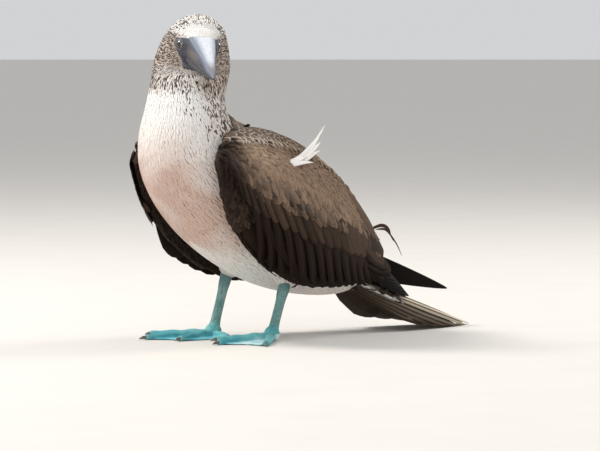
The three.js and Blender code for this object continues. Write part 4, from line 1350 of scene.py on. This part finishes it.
for side, foot in feet.items():
    parts = []
    for toe in toes:
        u = np.linspace(0, 1, 26)
        knuckle = 1 + 0.09 * np.cos(u * (6 if toe["length"] > 40 else 3) * math.pi) * (1 - 0.5 * u)
        wide = mixed(6, 3.4, u) * knuckle
        high = mixed(6.6, 3.4, u**0.7) * knuckle
        rings = toeTube(toe["angle"], 0, u * toe["length"], wide, high, high * 0.86)
        parts.append(tube("toe", footPlace(rings, foot, side)))
    parts += [tube("web", footPlace(webTube(toes[k], toes[k + 1]), foot, side)) for k in range(3)]
    u = np.linspace(-0.06, 1, 40)
    sizes = smoothRun(legLines[:, 1:])(np.interp(u, legLines[:, 0], np.linspace(0, 1, 7)))
    centres = mixed(np.array(foot["legTop"], float), np.array([*foot["at"], 5.0]), u[:, None])
    parts.append(tube("shank", around(centres, sizes[:, :1] * (1, 0, 0), sizes[:, 1:] * (0, 1, 0), 28)))
    deselect()
    bpy.ops.mesh.primitive_uv_sphere_add(segments=32, ring_count=20)
    ball = bpy.context.object
    movePoints(ball, footPlace(asMade(ball) * heel["size"] + heel["at"], foot, side))
    piece = joinAll(parts + [ball], "legAndFoot" + side.title())
    remesh(piece, 0.75, 5)
    points = pointsOf(piece)
    points[:, 2] = np.maximum(points[:, 2], 0.05 * (points[:, 2] < 0.4))
    movePoints(piece, points)
    local = (points - (*foot["at"], 0)) @ np.linalg.inv(footPlace(np.eye(3), dict(foot, at=(0, 0)), side))
    reach = np.hypot(local[:, 0], local[:, 1])
    near = np.full(len(points), 1e3)
    for toe in toes:
        way = toeWay(np.float64(toe["angle"]))
        far = np.clip(local @ way, 0, toe["length"])
        near = np.minimum(near, np.linalg.norm((local - way * far[:, None])[:, :2], axis=1))
    web = fade(near, 3.5, 6.5) * (points[:, 2] < 8)
    low = fade(points[:, 2], 12, 24)
    attribute(piece, "foot", np.stack([web, low, reach], 1))
    attribute(piece, "ice", web * fade(np.degrees(np.arctan2(local[:, 0], -local[:, 1])), 2, 14), "FLOAT")
    smoothShade(piece)
    finishPiece(piece, footFinish, "blue_web", "foot_" + side, "leg_" + side)
    for k, toe in enumerate(toes):
        u = np.array([0, 0.12, 0.4, 0.75, 0.93, 1.0])
        sizes = [np.interp(u, (0, 0.4, 0.75, 1), row) for row in clawSizes]
        rings = toeTube(toe["angle"], toe["length"] - 0.6, u * (toe["claw"] + 0.6), *sizes, sides=12)
        claw = tube(f"claw{side.title()}{k + 1}", footPlace(rings, foot, side))
        subdivide(claw, 1)
        smoothShade(claw)
        finishPiece(claw, clawFinish, "claw_horn", f"claw_{side}_{k + 1}")

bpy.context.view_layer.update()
faces = {o.name: sum(len(p.vertices) - 2 for p in o.data.polygons) for o in bpy.data.objects
         if o.type == "MESH" and not o.hide_render and o.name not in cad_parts}
print("triangles", sum(faces.values()), "largest", max(faces, key=faces.get), max(faces.values()))
